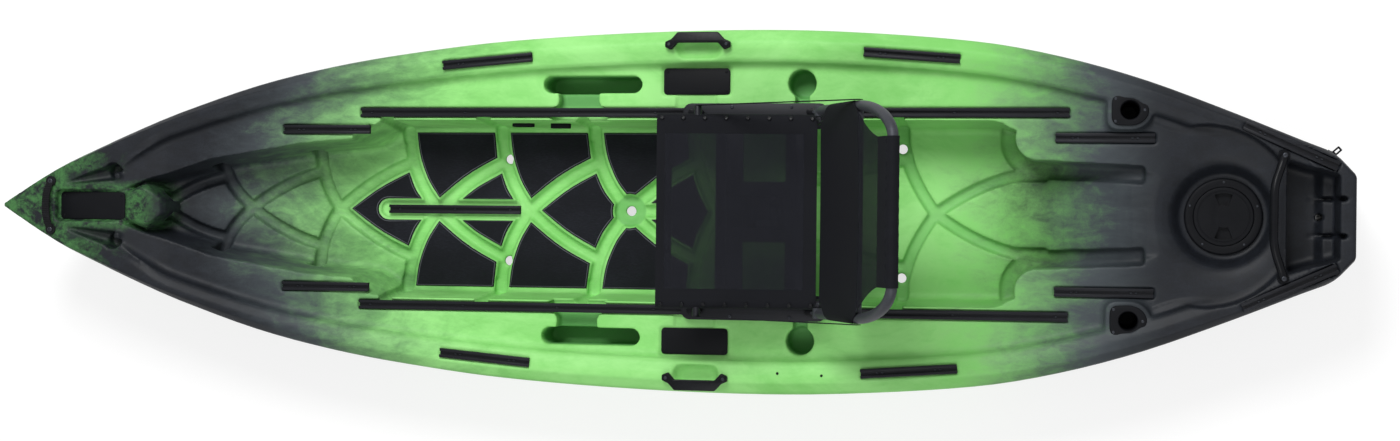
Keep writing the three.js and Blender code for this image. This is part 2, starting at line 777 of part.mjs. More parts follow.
function alongDrain(geometry) {
  return geometry.rotateY(Math.PI / 2).rotateZ(drainTurn).translate(drainSeat.x, drainSeat.y, drainSeat.z);
}

function drainCylinder(radius, from, to, sides) {
  const geometry = new THREE.CylinderGeometry(radius, radius, to - from, sides).rotateX(Math.PI / 2);
  return solid(alongDrain(geometry.translate(0, 0, (from + to) / 2)));
}

// Hull: skin, deck features, and the hollow inside
const hatchX = hatchShare * halfLength;
const rodX = rodShare * halfLength;
const rodOffset = rodOffsetShare * halfBeam;
const barEndX = barEndShare * halfLength;
const barEndHalf = halfBeamAt(barEndX) - barEndInset;
const barHalf = barEndHalf - barTaper;
const bowHandleX = bowHandleShare * halfLength;
const spotHeight = (x) => sheerAt(x) - spotFaceDepth;

function spotFace(x, y, radius) {
  return cylinder(radius + 2 * trackMargin, spotHeight(x), sheerAt(x) + overrun, x, y, 12);
}

function buildHull() {
  const deckCuts = [
    basin(0),
    trough(0, 0),
    hatchBowl(0),
    tailWell(0),
    floorTrackBay(0),
    plateRecessBody(plateBoxes.bow, 1, sheerAt(plateBoxes.bow.x) + deckDrop),
    cylinder(scupperRimRadius, floorHeight - grooveDepth, floorHeight + overrun, ringPlace[0], 0, 20),
    ...grooveBodies(grooveWidth, -grooveDepth, overrun),
    ...bothSides.flatMap(({ sign }) => [
      scoop(sign, 0), handleScoop(sign, 0), plateRecessBody(plateBoxes.side, sign, plateBoxes.side.top + deckDrop),
      platePocket(sign), ...Object.values(pocketPlan(sign, 0)), ...Object.values(cupPlan(sign, 0)),
    ]),
    ...tracks.map((track) => trackRecess(track, 0)),
    ...bothSides.flatMap(({ sign }) => [
      spotFace(barEndX, barEndHalf * sign, barPadRadius),
      spotFace(bowHandleX, bowHandleHalf * sign, bowHandlePad),
    ]),
  ];
  const rodPad = (low, high) => bothSides.map(({ sign }) => (
    solid(slab(rodOutline(rodPadMargin), low, high, 3).translate(rodX, sign * rodOffset, 0))));
  const drainBlock = drainCylinder(drainBossRadius + hullWall, -hullWall, drainBossDepth - hullWall, 16);
  const linings = [
    basin(hullWall),
    trough(hullWall, grooveDepth + hullWall),
    hatchBowl(hullWall),
    tailWell(hullWall),
    drainBlock,
    ...tracks.map((track) => trackRecess(track, hullWall)),
    ...bothSides.flatMap(({ sign }) => [
      plateLining(sign),
      scoop(sign, hullWall), handleScoop(sign, hullWall),
      ...Object.values(pocketPlan(sign, hullWall)), ...Object.values(cupPlan(sign, hullWall)),
    ]),
    ...scupperPlaces.map(([x, y]) => cylinder(scupperRadius + hullWall, -overrun, floorHeight, x, y, 10)),
    cylinder(drainRadius + hullWall, -overrun, wellFloor, wellShares.step * halfLength, 0, 8),
  ];
  const space = without(hullSkin(hullWall, spacePlaces), linings);
  const through = [
    ...scupperPlaces.map(([x, y]) => cylinder(scupperRadius, -overrun, floorHeight, x, y, 12)),
    cylinder(drainRadius, -overrun, wellFloor + overrun, wellShares.step * halfLength, 0, 8),
    cylinder(hatchNeckRadius + neckClearance, hatchHeight - hullWall - overrun, hatchHeight + overrun, hatchX, 0, 24),
    drainCylinder(drainBossRadius + seatGap, 0, drainBossDepth + overrun + hullWall, 16),
    ...bothSides.map(({ sign }) => (
      cylinder(rodBore + rodTubeWall + rodTubeClearance, deckAt(rodX) - overrun * 2, rodPadHeight + overrun, rodX,
        sign * rodOffset, 20))),
  ];
  const outer = without(hullSkin(0, skinPlaces), deckCuts);
  return without(joined([outer, prowNose(), ...rodPad(deckAt(rodX) - hullWall, rodPadHeight)]), [
    space,
    ...rodPad(rodPadHeight, sheerAt(rodX) + overrun),
    plateRecessBody(plateBoxes.bow, 1, sheerAt(plateBoxes.bow.x) + deckDrop),
    ...tracks.map((track) => trackRecess(track, 0)),
    ...through,
  ]);
}

// Tracks: aluminium bars with a T slot along the top
function trackBody(track) {
  const half = track.length / 2;
  const side = trackWidth / 2;
  const undercutTop = trackHeight - slotLip;
  const profile = [
    [-side, 0], [side, 0], [side, trackHeight], [slotWidth / 2, trackHeight], [slotWidth / 2, undercutTop],
    [slotUndercut / 2, undercutTop], [slotUndercut / 2, trackHeight - slotDepth],
    [-slotUndercut / 2, trackHeight - slotDepth], [-slotUndercut / 2, undercutTop], [-slotWidth / 2, undercutTop],
    [-slotWidth / 2, trackHeight], [-side, trackHeight],
  ];
  const geometry = slab(polygon(profile), -half, half);
  return geometry.rotateY(Math.PI / 2).rotateX(Math.PI / 2);
}

// Parts are added to one group, each with its own name and material
const kayak = new THREE.Group();
kayak.name = 'fishing_kayak';

function addPart(name, body, material) {
  const part = new THREE.Mesh(body.isBufferGeometry ? body : geometryOf(body), material);
  part.name = name;
  kayak.add(part);
  return part;
}

addPart('hull', buildHull(), moulded);

[...tracks, floorTrack].forEach((track) => {
  const bar = addPart(track.name, trackBody(track), blackAluminium);
  bar.position.set(track.x, track.y, track.z + seatGap);
  bar.rotation.z = track.angle;
});

// Accessory plates
function plateBody({ x, y, length, width, top }, sign) {
  const low = top - plateRecess + seatGap;
  const middle = sign * y;
  const outline = roundedOutline(x - length / 2, x + length / 2, middle - width / 2, middle + width / 2, plateCorner);
  return slab(outline, low, low + plateThickness, 2);
}

addPart('bow_plate', plateBody(plateBoxes.bow, 1), blackPlastic);
bothSides.forEach(({ name, sign }) => addPart(`side_plate_${name}`, plateBody(plateBoxes.side, sign), blackPlastic));

// Bow handle: one strap that bows towards the bow and rises clear of the deck
function bowHandle() {
  const low = spotHeight(bowHandleX) + seatGap;
  const swell = (y) => Math.cos((Math.PI / 2) * Math.min(Math.abs(y) / bowHandleHalf, 1)) ** 2;
  const across = Array.from({ length: bowHandleSteps + 1 }, (_, i) => (
    THREE.MathUtils.lerp(-bowHandleHalf, bowHandleHalf, i / bowHandleSteps)));
  const under = across.map((y) => [y, low + bowHandleRise * swell(y)]);
  const over = under.map(([y, z]) => [y, z + bowHandleThickness]).reverse();
  const strap = slab(polygon([...under, ...over]), -bowHandleWidth / 2, bowHandleWidth / 2);
  strap.rotateX(Math.PI / 2).rotateZ(Math.PI / 2);
  const places = strap.attributes.position;
  for (let i = 0; i < places.count; i += 1) {
    places.setX(i, places.getX(i) + bowHandleX - bowHandleSweep * swell(places.getY(i)));
  }
  const ends = bothSides.map(({ sign }) => (
    cylinder(bowHandlePad, low, low + bowHandleThickness, bowHandleX, bowHandleHalf * sign, 12)));
  return joined([solid(strap), ...ends]);
}

addPart('bow_handle', bowHandle(), blackPlastic);

// Carry handles: a bowed grip over the finger scoop
function carryHandle(sign) {
  const x = handleShare * halfLength;
  const y = halfBeamAt(x) - handleInset;
  const low = sheerAt(x) + seatGap;
  const half = handleLength / 2;
  const grip = half * handleGripShare;
  const shoulder = (half + grip) / 2;
  const across = handleWidth / 2;
  const tip = across * handleTipShare;
  const outline = [
    [-half, -tip], [-shoulder, -across], [-grip, handleBow - across], [grip, handleBow - across],
    [shoulder, -across], [half, -tip], [half, tip], [shoulder, across],
    [grip, handleBow + across], [-grip, handleBow + across], [-shoulder, across], [-half, tip],
  ];
  const bar = solid(slab(polygon(outline.map(([dx, dy]) => [x + dx, y + dy])), low, low + handleHeight));
  const relief = slab(roundedOutline(x - grip, x + grip, y - handleWidth, y + handleBow + handleWidth, handleWidth / 2),
    low - overrun, low + handleHeight - handleGripThickness);
  const body = bar.subtract(solid(relief));
  return sign > 0 ? body : body.mirror([0, 1, 0]);
}

bothSides.forEach(({ name, sign }) => addPart(`carry_handle_${name}`, carryHandle(sign), blackPlastic));

// Floor pads: foam sheets on the islands between the grooves
const padLow = floorHeight + seatGap;
const padCuts = [
  ...grooveBodies(grooveWidth + 2 * padMargin, -grooveDepth, overrun),
  floorTrackBay(padMargin),
  cylinder(scupperRimRadius + padMargin, floorHeight - grooveDepth, floorHeight + overrun, ringPlace[0], 0, 20),
];

function samples(curve, from, to, steps) {
  return Array.from({ length: steps + 1 }, (_, i) => {
    const point = curve.getPoint(THREE.MathUtils.lerp(from, to, i / steps));
    return [point.x, point.y];
  });
}

function padBody(outline) {
  return without(solid(slab(polygon(outline), padLow, padLow + padThickness)), padCuts);
}

function middleOutline(gate, sign) {
  return [...samples(archCurve(gate, sign), 0, 1, 3), ...samples(gateCurve(gate, sign), forkShare, 1, 3)];
}

function wholeOutline(gate) {
  const upper = middleOutline(gate, 1);
  const lower = middleOutline(gate, -1).slice(1, -1).reverse();
  return [...upper, ...lower].reverse();
}

function sideOutline(gate, next, sign) {
  const edge = cockpitHalfFloor - padEdgeInset;
  const inside = ([x, y]) => [x, sign * Math.min(Math.abs(y), edge)];
  const outline = [
    ...samples(gateCurve(gate, sign), 0, 1, 4), ...samples(archCurve(next, sign), 0.15, 1, 3),
    ...samples(gateCurve(next, sign), forkShare, 0, 2).slice(1),
  ].map(inside);
  return sign > 0 ? outline : outline.reverse();
}

const [, , bowGate, trackGate, , rearGate] = gateShares;
addPart('pad_bow_middle', padBody(wholeOutline(bowGate)), foam);
addPart('pad_centre', padBody(wholeOutline(ringGate)), foam);
addPart('pad_rear_middle', padBody(wholeOutline(rearGate)), foam);
bothSides.forEach(({ name, sign }) => {
  addPart(`pad_track_${name}`, padBody(middleOutline(trackGate, sign)), foam);
  addPart(`pad_side_front_${name}`, padBody(sideOutline(bowGate, trackGate, sign)), foam);
  addPart(`pad_side_middle_${name}`, padBody(sideOutline(trackGate, ringGate, sign)), foam);
  addPart(`pad_side_rear_${name}`, padBody(sideOutline(ringGate, rearGate, sign)), foam);
});

// Rod holders: flange and closed tube in one moulding
function rodHolder(sign) {
  const y = rodOffset * sign;
  const low = rodPadHeight + seatGap;
  const high = low + rodFlangeThickness;
  const bottom = high - rodTubeLength;
  const flange = solid(slab(rodOutline(0), low, high, 5).translate(rodX, y, 0));
  const tube = cylinder(rodBore + rodTubeWall, bottom, low + rodTubeWall, rodX, y, 16);
  return flange.add(tube).subtract(cylinder(rodBore, bottom + rodTubeWall, high + overrun, rodX, y, 16));
}

bothSides.forEach(({ name, sign }) => addPart(`rod_holder_${name}`, rodHolder(sign), blackPlastic));

// Hatch: flanged ring, O-ring on its ledge, and the lid with two finger recesses
const lidRadius = hatchBore + hatchLedge;
const ringLow = hatchHeight + seatGap;
const ringHigh = ringLow + hatchRingHeight;
const ledge = ringHigh + lidRise - lidThickness - 2 * sealRadius - 2 * seatGap;
const lidLow = ledge + 2 * sealRadius + 2 * seatGap;
const hatchSides = 24;

function turned(profile, sides = hatchSides) {
  const points = profile.map(([radius, z]) => new THREE.Vector2(radius, z));
  return solid(new THREE.LatheGeometry(points, sides).rotateX(Math.PI / 2).translate(hatchX, 0, 0));
}

function hatchRing() {
  const neckLow = ringLow - hatchNeckDepth;
  const seatRadius = lidRadius + lidClearance;
  return turned([
    [hatchBore, neckLow], [hatchNeckRadius, neckLow], [hatchNeckRadius, ringLow], [hatchRingRadius, ringLow],
    [hatchRingRadius, ringLow + hatchRingHeight / 2], [hatchRingRadius - hatchLedge, ringHigh], [seatRadius, ringHigh],
    [seatRadius, ledge], [hatchBore, ledge], [hatchBore, neckLow],
  ]);
}

function hatchSeal() {
  const middle = hatchBore + hatchLedge / 2;
  const height = ledge + seatGap + sealRadius;
  const steps = 4;
  const profile = Array.from({ length: steps + 1 }, (_, i) => {
    const angle = (i % steps) * 2 * Math.PI / steps;
    return [middle + (sealRadius - seatGap) * Math.cos(angle), height + sealRadius * Math.sin(angle)];
  });
  return turned(profile);
}

function lidRecess(sign) {
  const half = THREE.MathUtils.degToRad(lidRecessHalfAngle);
  const shape = new THREE.Shape();
  shape.absarc(0, 0, lidRecessOuter, Math.PI / 2 - half, Math.PI / 2 + half);
  shape.absarc(0, 0, lidRecessInner, Math.PI / 2 + half, Math.PI / 2 - half, true);
  const top = lidLow + lidThickness;
  const body = slab(shape, top - lidRecessDepth, top + overrun, 2).rotateZ(sign > 0 ? 0 : Math.PI);
  return solid(body.translate(hatchX, 0, 0));
}

function hatchLid() {
  const plugRadius = hatchBore - lidClearance;
  const body = turned([
    [0, lidLow - hatchNeckDepth], [plugRadius, lidLow - hatchNeckDepth], [plugRadius, lidLow], [lidRadius, lidLow],
    [lidRadius, lidLow + lidThickness], [0, lidLow + lidThickness],
  ]);
  return without(body, [lidRecess(1), lidRecess(-1)]);
}

addPart('hatch_ring', hatchRing(), blackPlastic);
addPart('hatch_seal', hatchSeal(), rubber);
addPart('hatch_lid', hatchLid(), blackPlastic);

// Stern grab bar: bent tube with flattened ends
function roundBar(points, radius, steps, sides) {
  const section = new THREE.Shape();
  section.absarc(0, 0, radius, 0, 2 * Math.PI);
  const outline = new THREE.Shape(section.getSpacedPoints(sides).slice(0, -1));
  const extrudePath = new THREE.CatmullRomCurve3(points);
  return solid(new THREE.ExtrudeGeometry(outline, { steps, extrudePath, bevelEnabled: false }));
}

function sternBar() {
  const x = barShare * halfLength;
  const low = spotHeight(barEndX) + seatGap;
  const foot = low + barPadThickness / 2 + barRadius / 2;
  const high = low + barRadius + barRise;
  const half = [
    [barEndX, barEndHalf, foot], [barEndX - barRadius, barEndHalf - barRadius, foot],
    [x + barRadius, barHalf + barRadius, high - barRadius / 2], [x, barHalf - barRadius, high], [x, barHalf / 2, high],
  ];
  const mirrored = half.map(([px, py, pz]) => [px, -py, pz]).reverse();
  const points = [...half, [x, 0, high], ...mirrored].map((point) => new THREE.Vector3(...point));
  const pads = bothSides.map(({ sign }) => (
    cylinder(barPadRadius, low, low + barPadThickness, barEndX, barEndHalf * sign, 12)));
  const below = cylinder(2 * barPadRadius, low - 2 * overrun, low, barEndX, barEndHalf, 12);
  const bar = roundBar(points, barRadius, 22, 8);
  return without(joined([bar, ...pads]), [below, below.mirror([0, 1, 0])]);
}

addPart('stern_bar', sternBar(), blackAluminium);

// Drain fitting: boss in the hull and a plug with a pull loop
function drainBoss() {
  const hole = drainBossDepth - drainPlugDepth - seatGap;
  const outer = drainCylinder(drainBossRadius, seatGap, drainBossDepth, 16);
  return outer.subtract(drainCylinder(drainPlugRadius + seatGap, hole, drainBossDepth + overrun, 16));
}

function drainPlug() {
  const top = drainBossDepth + drainLoopBar / 2;
  const stem = drainCylinder(drainPlugRadius, drainBossDepth - drainPlugDepth, top, 16);
  const half = drainLoopWidth / 2;
  const shape = roundedOutline(-half, half, top - drainLoopBar / 2, top + drainLoopLength, drainLoopBar / 2);
  const inner = half - drainLoopBar;
  shape.holes.push(roundedOutline(-inner, inner, top + drainLoopBar, top + drainLoopLength - drainLoopBar, 1 / 2));
  const flat = slab(shape, -drainLoopBar / 2, drainLoopBar / 2);
  const axes = [new THREE.Vector3(0, 1, 0), new THREE.Vector3(0, 0, 1), new THREE.Vector3(1, 0, 0)];
  return stem.add(solid(alongDrain(flat.applyMatrix4(new THREE.Matrix4().makeBasis(...axes)))));
}

addPart('drain_boss', drainBoss(), blackPlastic);
addPart('drain_plug', drainPlug(), blackPlastic);

// Small fittings on the starboard cockpit wall
function onWall(outline, x, thickness) {
  const low = floorHeight + troughCorner;
  const high = sheerAt(x) + overrun;
  const lean = Math.atan2(cockpitHalfTop - cockpitHalfFloor, high - low);
  const y = THREE.MathUtils.lerp(cockpitHalfFloor, cockpitHalfTop, (fittingHeight - low) / (high - low));
  const geometry = slab(outline, seatGap, seatGap + thickness, 2).rotateX(Math.PI / 2 - lean);
  return geometry.translate(x, y, fittingHeight);
}

function wallOutline(length, width) {
  return roundedOutline(-length / 2, length / 2, -width / 2, width / 2, width / 2);
}

addPart('cable_gland', onWall(wallOutline(glandLength, glandWidth), glandShare * halfLength, glandThickness), rubber);
addPart('wall_bracket', onWall(wallOutline(bracketLength, bracketWidth), bracketShare * halfLength, bracketThickness),
  blackPlastic);

// Seat base: plates on the rails, bridge plate, turntable and clamp knobs
const railTop = railSeat + seatGap + trackHeight;
const basePlateLow = railTop + seatGap;
const bridgeLow = basePlateLow + basePlateThickness + seatGap;
const swivelLow = bridgeLow + bridgeThickness + seatGap;
const turntableLow = swivelLow + swivelThickness + swivelRunningGap;
const swivelX = seatFront + swivelSetback;

bothSides.forEach(({ name, sign }) => {
  const x0 = seatFront + basePlateSetback;
  const inner = Math.min(basePlateInner * sign, basePlateOuter * sign);
  const outer = Math.max(basePlateInner * sign, basePlateOuter * sign);
  const outline = roundedOutline(x0, x0 + basePlateLength, inner, outer, basePlateCorner);
  addPart(`seat_plate_${name}`, slab(outline, basePlateLow, basePlateLow + basePlateThickness, 2), blackAluminium);
});

function seatBridge() {
  const { frontFrom, frontTo, rearFrom, rearTo } = bridgeBars;
  const box = (from, to, half) => solid(slab(roundedOutline(seatFront + from, seatFront + to, -half, half, hullWall),
    bridgeLow, bridgeLow + bridgeThickness));
  const plate = joined([
    box(frontFrom, frontTo, bridgeReach), box(rearFrom, rearTo, bridgeReach),
    box((frontFrom + frontTo) / 2, (rearFrom + rearTo) / 2, bridgeCentreHalf),
  ]);
  const hole = cylinder(swivelHole, bridgeLow - overrun, bridgeLow + overrun, swivelX, 0, 20);
  const bar = solid(slab(roundedOutline(swivelX - 2 * swivelHole, swivelX + 2 * swivelHole, -swivelBridgeBar / 2,
    swivelBridgeBar / 2, swivelBridgeBar / 4), bridgeLow - 2 * overrun, bridgeLow + 2 * overrun));
  return plate.subtract(hole.subtract(bar));
}

function swivelLower() {
  const high = swivelLow + swivelThickness;
  const collar = high + swivelThickness / 2;
  return [
    [swivelHole, swivelLow], [swivelRadius, swivelLow], [swivelRadius, high], [swivelSpigotRadius, high],
    [swivelSpigotRadius, collar], [swivelHole, collar], [swivelHole, swivelLow],
  ];
}

function atSwivel(profile) {
  const points = profile.map(([radius, z]) => new THREE.Vector2(radius, z));
  return solid(new THREE.LatheGeometry(points, 24).rotateX(Math.PI / 2).translate(swivelX, 0, 0));
}

addPart('seat_bridge', seatBridge(), blackAluminium);
addPart('swivel_lower', atSwivel(swivelLower()), blackAluminium);

Object.entries(knobSetbacks).forEach(([end, setback]) => bothSides.forEach(({ name, sign }) => {
  const x = seatFront + setback;
  const low = basePlateLow + basePlateThickness + seatGap;
  const lobes = [-1, 1].map((side) => (
    cylinder(knobLobe, low, low + knobHeight, x + side * knobLobeOffset, railOffset * sign, 10)));
  const body = joined([cylinder(knobRadius, low, low + knobHeight, x, railOffset * sign, 12), ...lobes]);
  addPart(`clamp_knob_${end}_${name}`, body, blackPlastic);
}));

// Seat top, built flat and then tilted: its front edge is the higher one
const seatDrop = Math.atan2(seatFrontHeight - seatRearHeight, seatLength);
const seatRun = seatLength / Math.cos(seatDrop);
const tubeHeight = -(slingThickness + seatGap + railTubeRadius);
const tilted = (geometry) => geometry.rotateY(seatDrop).translate(seatFront, 0, seatFrontHeight);
const hingeX = seatFront + seatLength + hingeAhead;
const hingeZ = seatRearHeight + tubeHeight + hingeRise;
const crossBarPlaces = [
  railTubeRadius + crossBarWidth / 2, (bridgeBars.frontFrom + bridgeBars.frontTo) / 2,
  (bridgeBars.rearFrom + bridgeBars.rearTo) / 2, seatRun - railTubeRadius - crossBarWidth / 2,
];
const crossBarLow = tubeHeight - crossBarDrop - crossBarThickness / 2;

function sideTube(sign) {
  const length = seatRun + hingeAhead;
  const tube = new THREE.CylinderGeometry(railTubeRadius, railTubeRadius, length, 10).rotateZ(Math.PI / 2);
  return solid(tilted(tube.translate(length / 2, railTubeHalfSpread * sign, tubeHeight)));
}

function crossBar(along) {
  const bar = new THREE.BoxGeometry(crossBarWidth, 2 * railTubeHalfSpread, crossBarThickness);
  return solid(tilted(bar.translate(along, 0, tubeHeight - crossBarDrop)));
}

const lugOuter = backHalfWidth - backTubeRadius - hingeLugThickness / 2;

function hingeLug(sign) {
  const from = lugOuter - hingeLugThickness;
  const eye = crossCylinder(hingeLugRadius, from, lugOuter, hingeX, hingeZ, 16);
  const foot = seatRearHeight + tubeHeight - railTubeRadius;
  const web = new THREE.BoxGeometry(lugWebWidth, hingeLugThickness, hingeZ - foot);
  const place = [hingeX, (from + lugOuter) / 2, (hingeZ + foot) / 2];
  const hole = crossCylinder(hingePinRadius + seatGap, from - overrun, lugOuter + overrun, hingeX, hingeZ, 12);
  const lug = eye.add(solid(web.translate(...place))).subtract(hole);
  return sign > 0 ? lug : lug.mirror([0, 1, 0]);
}

const strapFrontX = seatFront + strapFrontSetback;
const strapFrontZ = seatFrontHeight + tubeHeight - strapFrontSetback * Math.tan(seatDrop);
const strapInner = backHalfWidth + backTubeRadius + seatGap;

function seatFrame() {
  const bosses = bothSides.map(({ sign }) => {
    const reach = [railTubeHalfSpread * sign, (strapInner - seatGap) * sign];
    return crossCylinder(strapBossRadius, Math.min(...reach), Math.max(...reach), strapFrontX, strapFrontZ, 12);
  });
  return joined([
    ...bothSides.flatMap(({ sign }) => [sideTube(sign), hingeLug(sign)]), ...crossBarPlaces.map(crossBar), ...bosses,
  ]);
}

function slingSection(halfWidth, halfSpan, sag, thickness) {
  const shape = new THREE.Shape();
  shape.moveTo(-halfWidth, 0);
  shape.lineTo(-halfWidth, -thickness);
  shape.lineTo(-halfSpan, -thickness);
  shape.quadraticCurveTo(0, -thickness - 2 * sag, halfSpan, -thickness);
  shape.lineTo(halfWidth, -thickness);
  shape.lineTo(halfWidth, 0);
  shape.lineTo(halfSpan, 0);
  shape.quadraticCurveTo(0, -2 * sag, -halfSpan, 0);
  return shape;
}

function seatSling() {
  const steps = { curveSegments: 5, bevelEnabled: false, depth: seatRun };
  const section = slingSection(seatHalfWidth, railTubeHalfSpread, slingSag, slingThickness);
  const geometry = new THREE.ExtrudeGeometry(section, steps).rotateX(Math.PI / 2).rotateZ(Math.PI / 2);
  return tilted(geometry);
}

function swivelUpper() {
  const high = turntableLow + swivelThickness;
  const inner = swivelSpigotRadius + swivelRunningGap;
  const plate = atSwivel([
    [inner, turntableLow], [swivelRadius, turntableLow], [swivelRadius, high], [inner, high], [inner, turntableLow],
  ]);
  const barAt = (along, side) => {
    const point = new THREE.Vector3(along + side * crossBarWidth / 2, 0, crossBarLow - seatGap);
    return point.applyAxisAngle(new THREE.Vector3(0, 1, 0), seatDrop);
  };
  const front = barAt(crossBarPlaces[1], -1);
  const rear = barAt(crossBarPlaces[2], 1);
  const place = (point) => [seatFront + point.x, seatFrontHeight + point.z];
  const waist = swivelRadius * cheekWaistShare;
  const outline = polygon([
    [swivelX - waist, high - swivelThickness / 2], [swivelX + waist, high - swivelThickness / 2],
    [swivelX + waist, high + swivelThickness], place(rear), place(front), [swivelX - waist, high + swivelThickness],
  ]);
  const cheeks = bothSides.map(({ sign }) => {
    const geometry = slab(outline, -cheekThickness / 2, cheekThickness / 2).rotateX(Math.PI / 2);
    return solid(geometry.translate(0, cheekHalfSpread * sign, 0));
  });
  return joined([plate, ...cheeks]);
}

addPart('swivel_upper', swivelUpper(), blackAluminium);
addPart('seat_frame', seatFrame(), blackAluminium);
addPart('seat_sling', seatSling(), mesh);

// Backrest, built upright and then reclined about its hinge
const reclined = (body) => body.rotate([0, backAngle, 0]).translate([hingeX, 0, hingeZ]);

function backFrame() {
  const side = [0, 1 / 3, 2 / 3, 1].map((share) => [backHalfWidth, share * backShoulder]);
  const corner = [22.5, 45, 67.5, 90].map((degrees) => {
    const angle = THREE.MathUtils.degToRad(degrees);
    const across = (backHalfWidth - backTopHalf) * Math.cos(angle);
    return [backTopHalf + across, backShoulder + (backHeight - backShoulder) * Math.sin(angle)];
  });
  const half = [...side, ...corner, [backTopHalf / 2, backHeight]];
  const points = [...half, ...half.map(([y, z]) => [-y, z]).reverse()].map(([y, z]) => new THREE.Vector3(0, y, z));
  const eyes = bothSides.map(({ sign }) => (
    crossCylinder(hingeLugRadius, sign * backHalfWidth - backTubeRadius, sign * backHalfWidth + backTubeRadius, 0, 0, 16)));
  const reach = backHalfWidth + backTubeRadius + overrun;
  return without(joined([
    roundBar(points, backTubeRadius, 34, 8), ...eyes,
    crossCylinder(backCrossRadius, -backHalfWidth, backHalfWidth, 0, backCrossAt, 8),
  ]), [crossCylinder(hingePinRadius + seatGap, -reach, reach, 0, 0, 12)]);
}

function backSling() {
  const shape = new THREE.Shape();
  const wide = backSlingHalf;
  shape.moveTo(-wide, backSlingLow);
  shape.lineTo(wide, backSlingLow);
  shape.lineTo(wide, backCutLow);
  shape.quadraticCurveTo(backSlingTopHalf + backCutDip, backCutLow + backCutRise, backSlingTopHalf, backHeight);
  shape.lineTo(-backSlingTopHalf, backHeight);
  shape.quadraticCurveTo(-backSlingTopHalf - backCutDip, backCutLow + backCutRise, -wide, backCutLow);
  const near = backTubeRadius + seatGap;
  const geometry = slab(shape, near, near + slingThickness, 3).rotateX(Math.PI / 2).rotateZ(-Math.PI / 2);
  return solid(geometry);
}

addPart('back_frame', reclined(backFrame()), blackAluminium);
addPart('back_sling', reclined(backSling()), mesh);

bothSides.forEach(({ name, sign }) => {
  const from = sign > 0 ? lugOuter - hingeLugThickness - hingePinHead : -lugOuter - hingePinLength + hingeLugThickness;
  const pin = crossCylinder(hingePinRadius, from, from + hingePinLength + hingePinHead, hingeX, hingeZ, 12);
  addPart(`hinge_pin_${name}`, pin, blackAluminium);
});

// Straps from the seat's sides to the backrest
bothSides.forEach(({ name, sign }) => {
  const recline = THREE.MathUtils.degToRad(backAngle);
  const rearX = hingeX + strapBackAt * Math.sin(recline);
  const rearZ = hingeZ + strapBackAt * Math.cos(recline);
  const line = new THREE.LineCurve(new THREE.Vector2(strapFrontX, strapFrontZ), new THREE.Vector2(rearX, rearZ));
  const geometry = slab(strip(line, 1, strapWidth), -strapThickness / 2, strapThickness / 2).rotateX(Math.PI / 2);
  geometry.translate(0, sign * (strapInner + strapThickness / 2), 0);
  addPart(`back_strap_${name}`, geometry, webbing);
});

export default kayak;
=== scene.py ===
"""Looks of the fishing kayak: moulded hull, deck hardware, floor pads and a swivelling frame seat.

Metres, +Z up, bow towards -X, starboard towards +Y. The origin lies on the ground under the hull's middle.
"""

import json
import logging
import math
from collections.abc import Callable, Iterable, Sequence
from dataclasses import dataclass, field
from enum import Enum
from typing import Any

import bmesh
import bpy
from mathutils import Matrix, Vector


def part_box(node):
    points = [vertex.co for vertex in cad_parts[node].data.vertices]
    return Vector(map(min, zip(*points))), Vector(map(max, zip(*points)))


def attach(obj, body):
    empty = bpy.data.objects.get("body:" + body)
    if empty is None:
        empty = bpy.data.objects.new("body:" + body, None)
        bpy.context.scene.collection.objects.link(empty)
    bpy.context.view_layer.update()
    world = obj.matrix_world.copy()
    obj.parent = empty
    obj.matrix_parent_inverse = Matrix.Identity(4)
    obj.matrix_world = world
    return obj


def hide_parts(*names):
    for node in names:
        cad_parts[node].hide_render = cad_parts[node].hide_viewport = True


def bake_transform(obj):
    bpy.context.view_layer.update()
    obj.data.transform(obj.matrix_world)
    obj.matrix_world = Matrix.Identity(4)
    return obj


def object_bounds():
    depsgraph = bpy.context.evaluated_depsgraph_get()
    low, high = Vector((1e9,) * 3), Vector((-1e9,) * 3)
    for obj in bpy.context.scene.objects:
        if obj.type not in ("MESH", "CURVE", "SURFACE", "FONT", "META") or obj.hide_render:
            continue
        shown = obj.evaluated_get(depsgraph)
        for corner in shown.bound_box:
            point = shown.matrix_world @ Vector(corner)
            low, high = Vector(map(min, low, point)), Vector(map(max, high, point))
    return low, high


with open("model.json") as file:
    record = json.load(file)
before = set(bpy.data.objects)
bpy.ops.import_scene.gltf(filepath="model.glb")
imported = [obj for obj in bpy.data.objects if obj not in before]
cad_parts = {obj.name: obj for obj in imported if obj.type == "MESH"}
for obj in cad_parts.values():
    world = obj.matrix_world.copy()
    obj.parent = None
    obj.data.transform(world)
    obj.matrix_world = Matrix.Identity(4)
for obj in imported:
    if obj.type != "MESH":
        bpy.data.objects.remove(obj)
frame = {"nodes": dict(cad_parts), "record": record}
CAD_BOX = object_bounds()
LOG = logging.getLogger("kayak")

Piece = bpy.types.Object
Finish = bpy.types.Material
Socket = bpy.types.NodeSocket
Work = bmesh.types.BMesh
Pair = tuple[float, float]
Ring = list[Vector]
Plan = list[Pair]
Table = Sequence[tuple[float, ...]]


class Side(Enum):
    """The two sides of the boat, with the sign of Y on each."""

    STARBOARD = 1
    PORT = -1

    @property
    def word(self) -> str:
        """Name of the side as the model's nodes spell it."""
        return self.name.lower()


def lerp(start: float, end: float, share: float) -> float:
    """Value at a share of the way from start to end."""
    return start + (end - start) * share


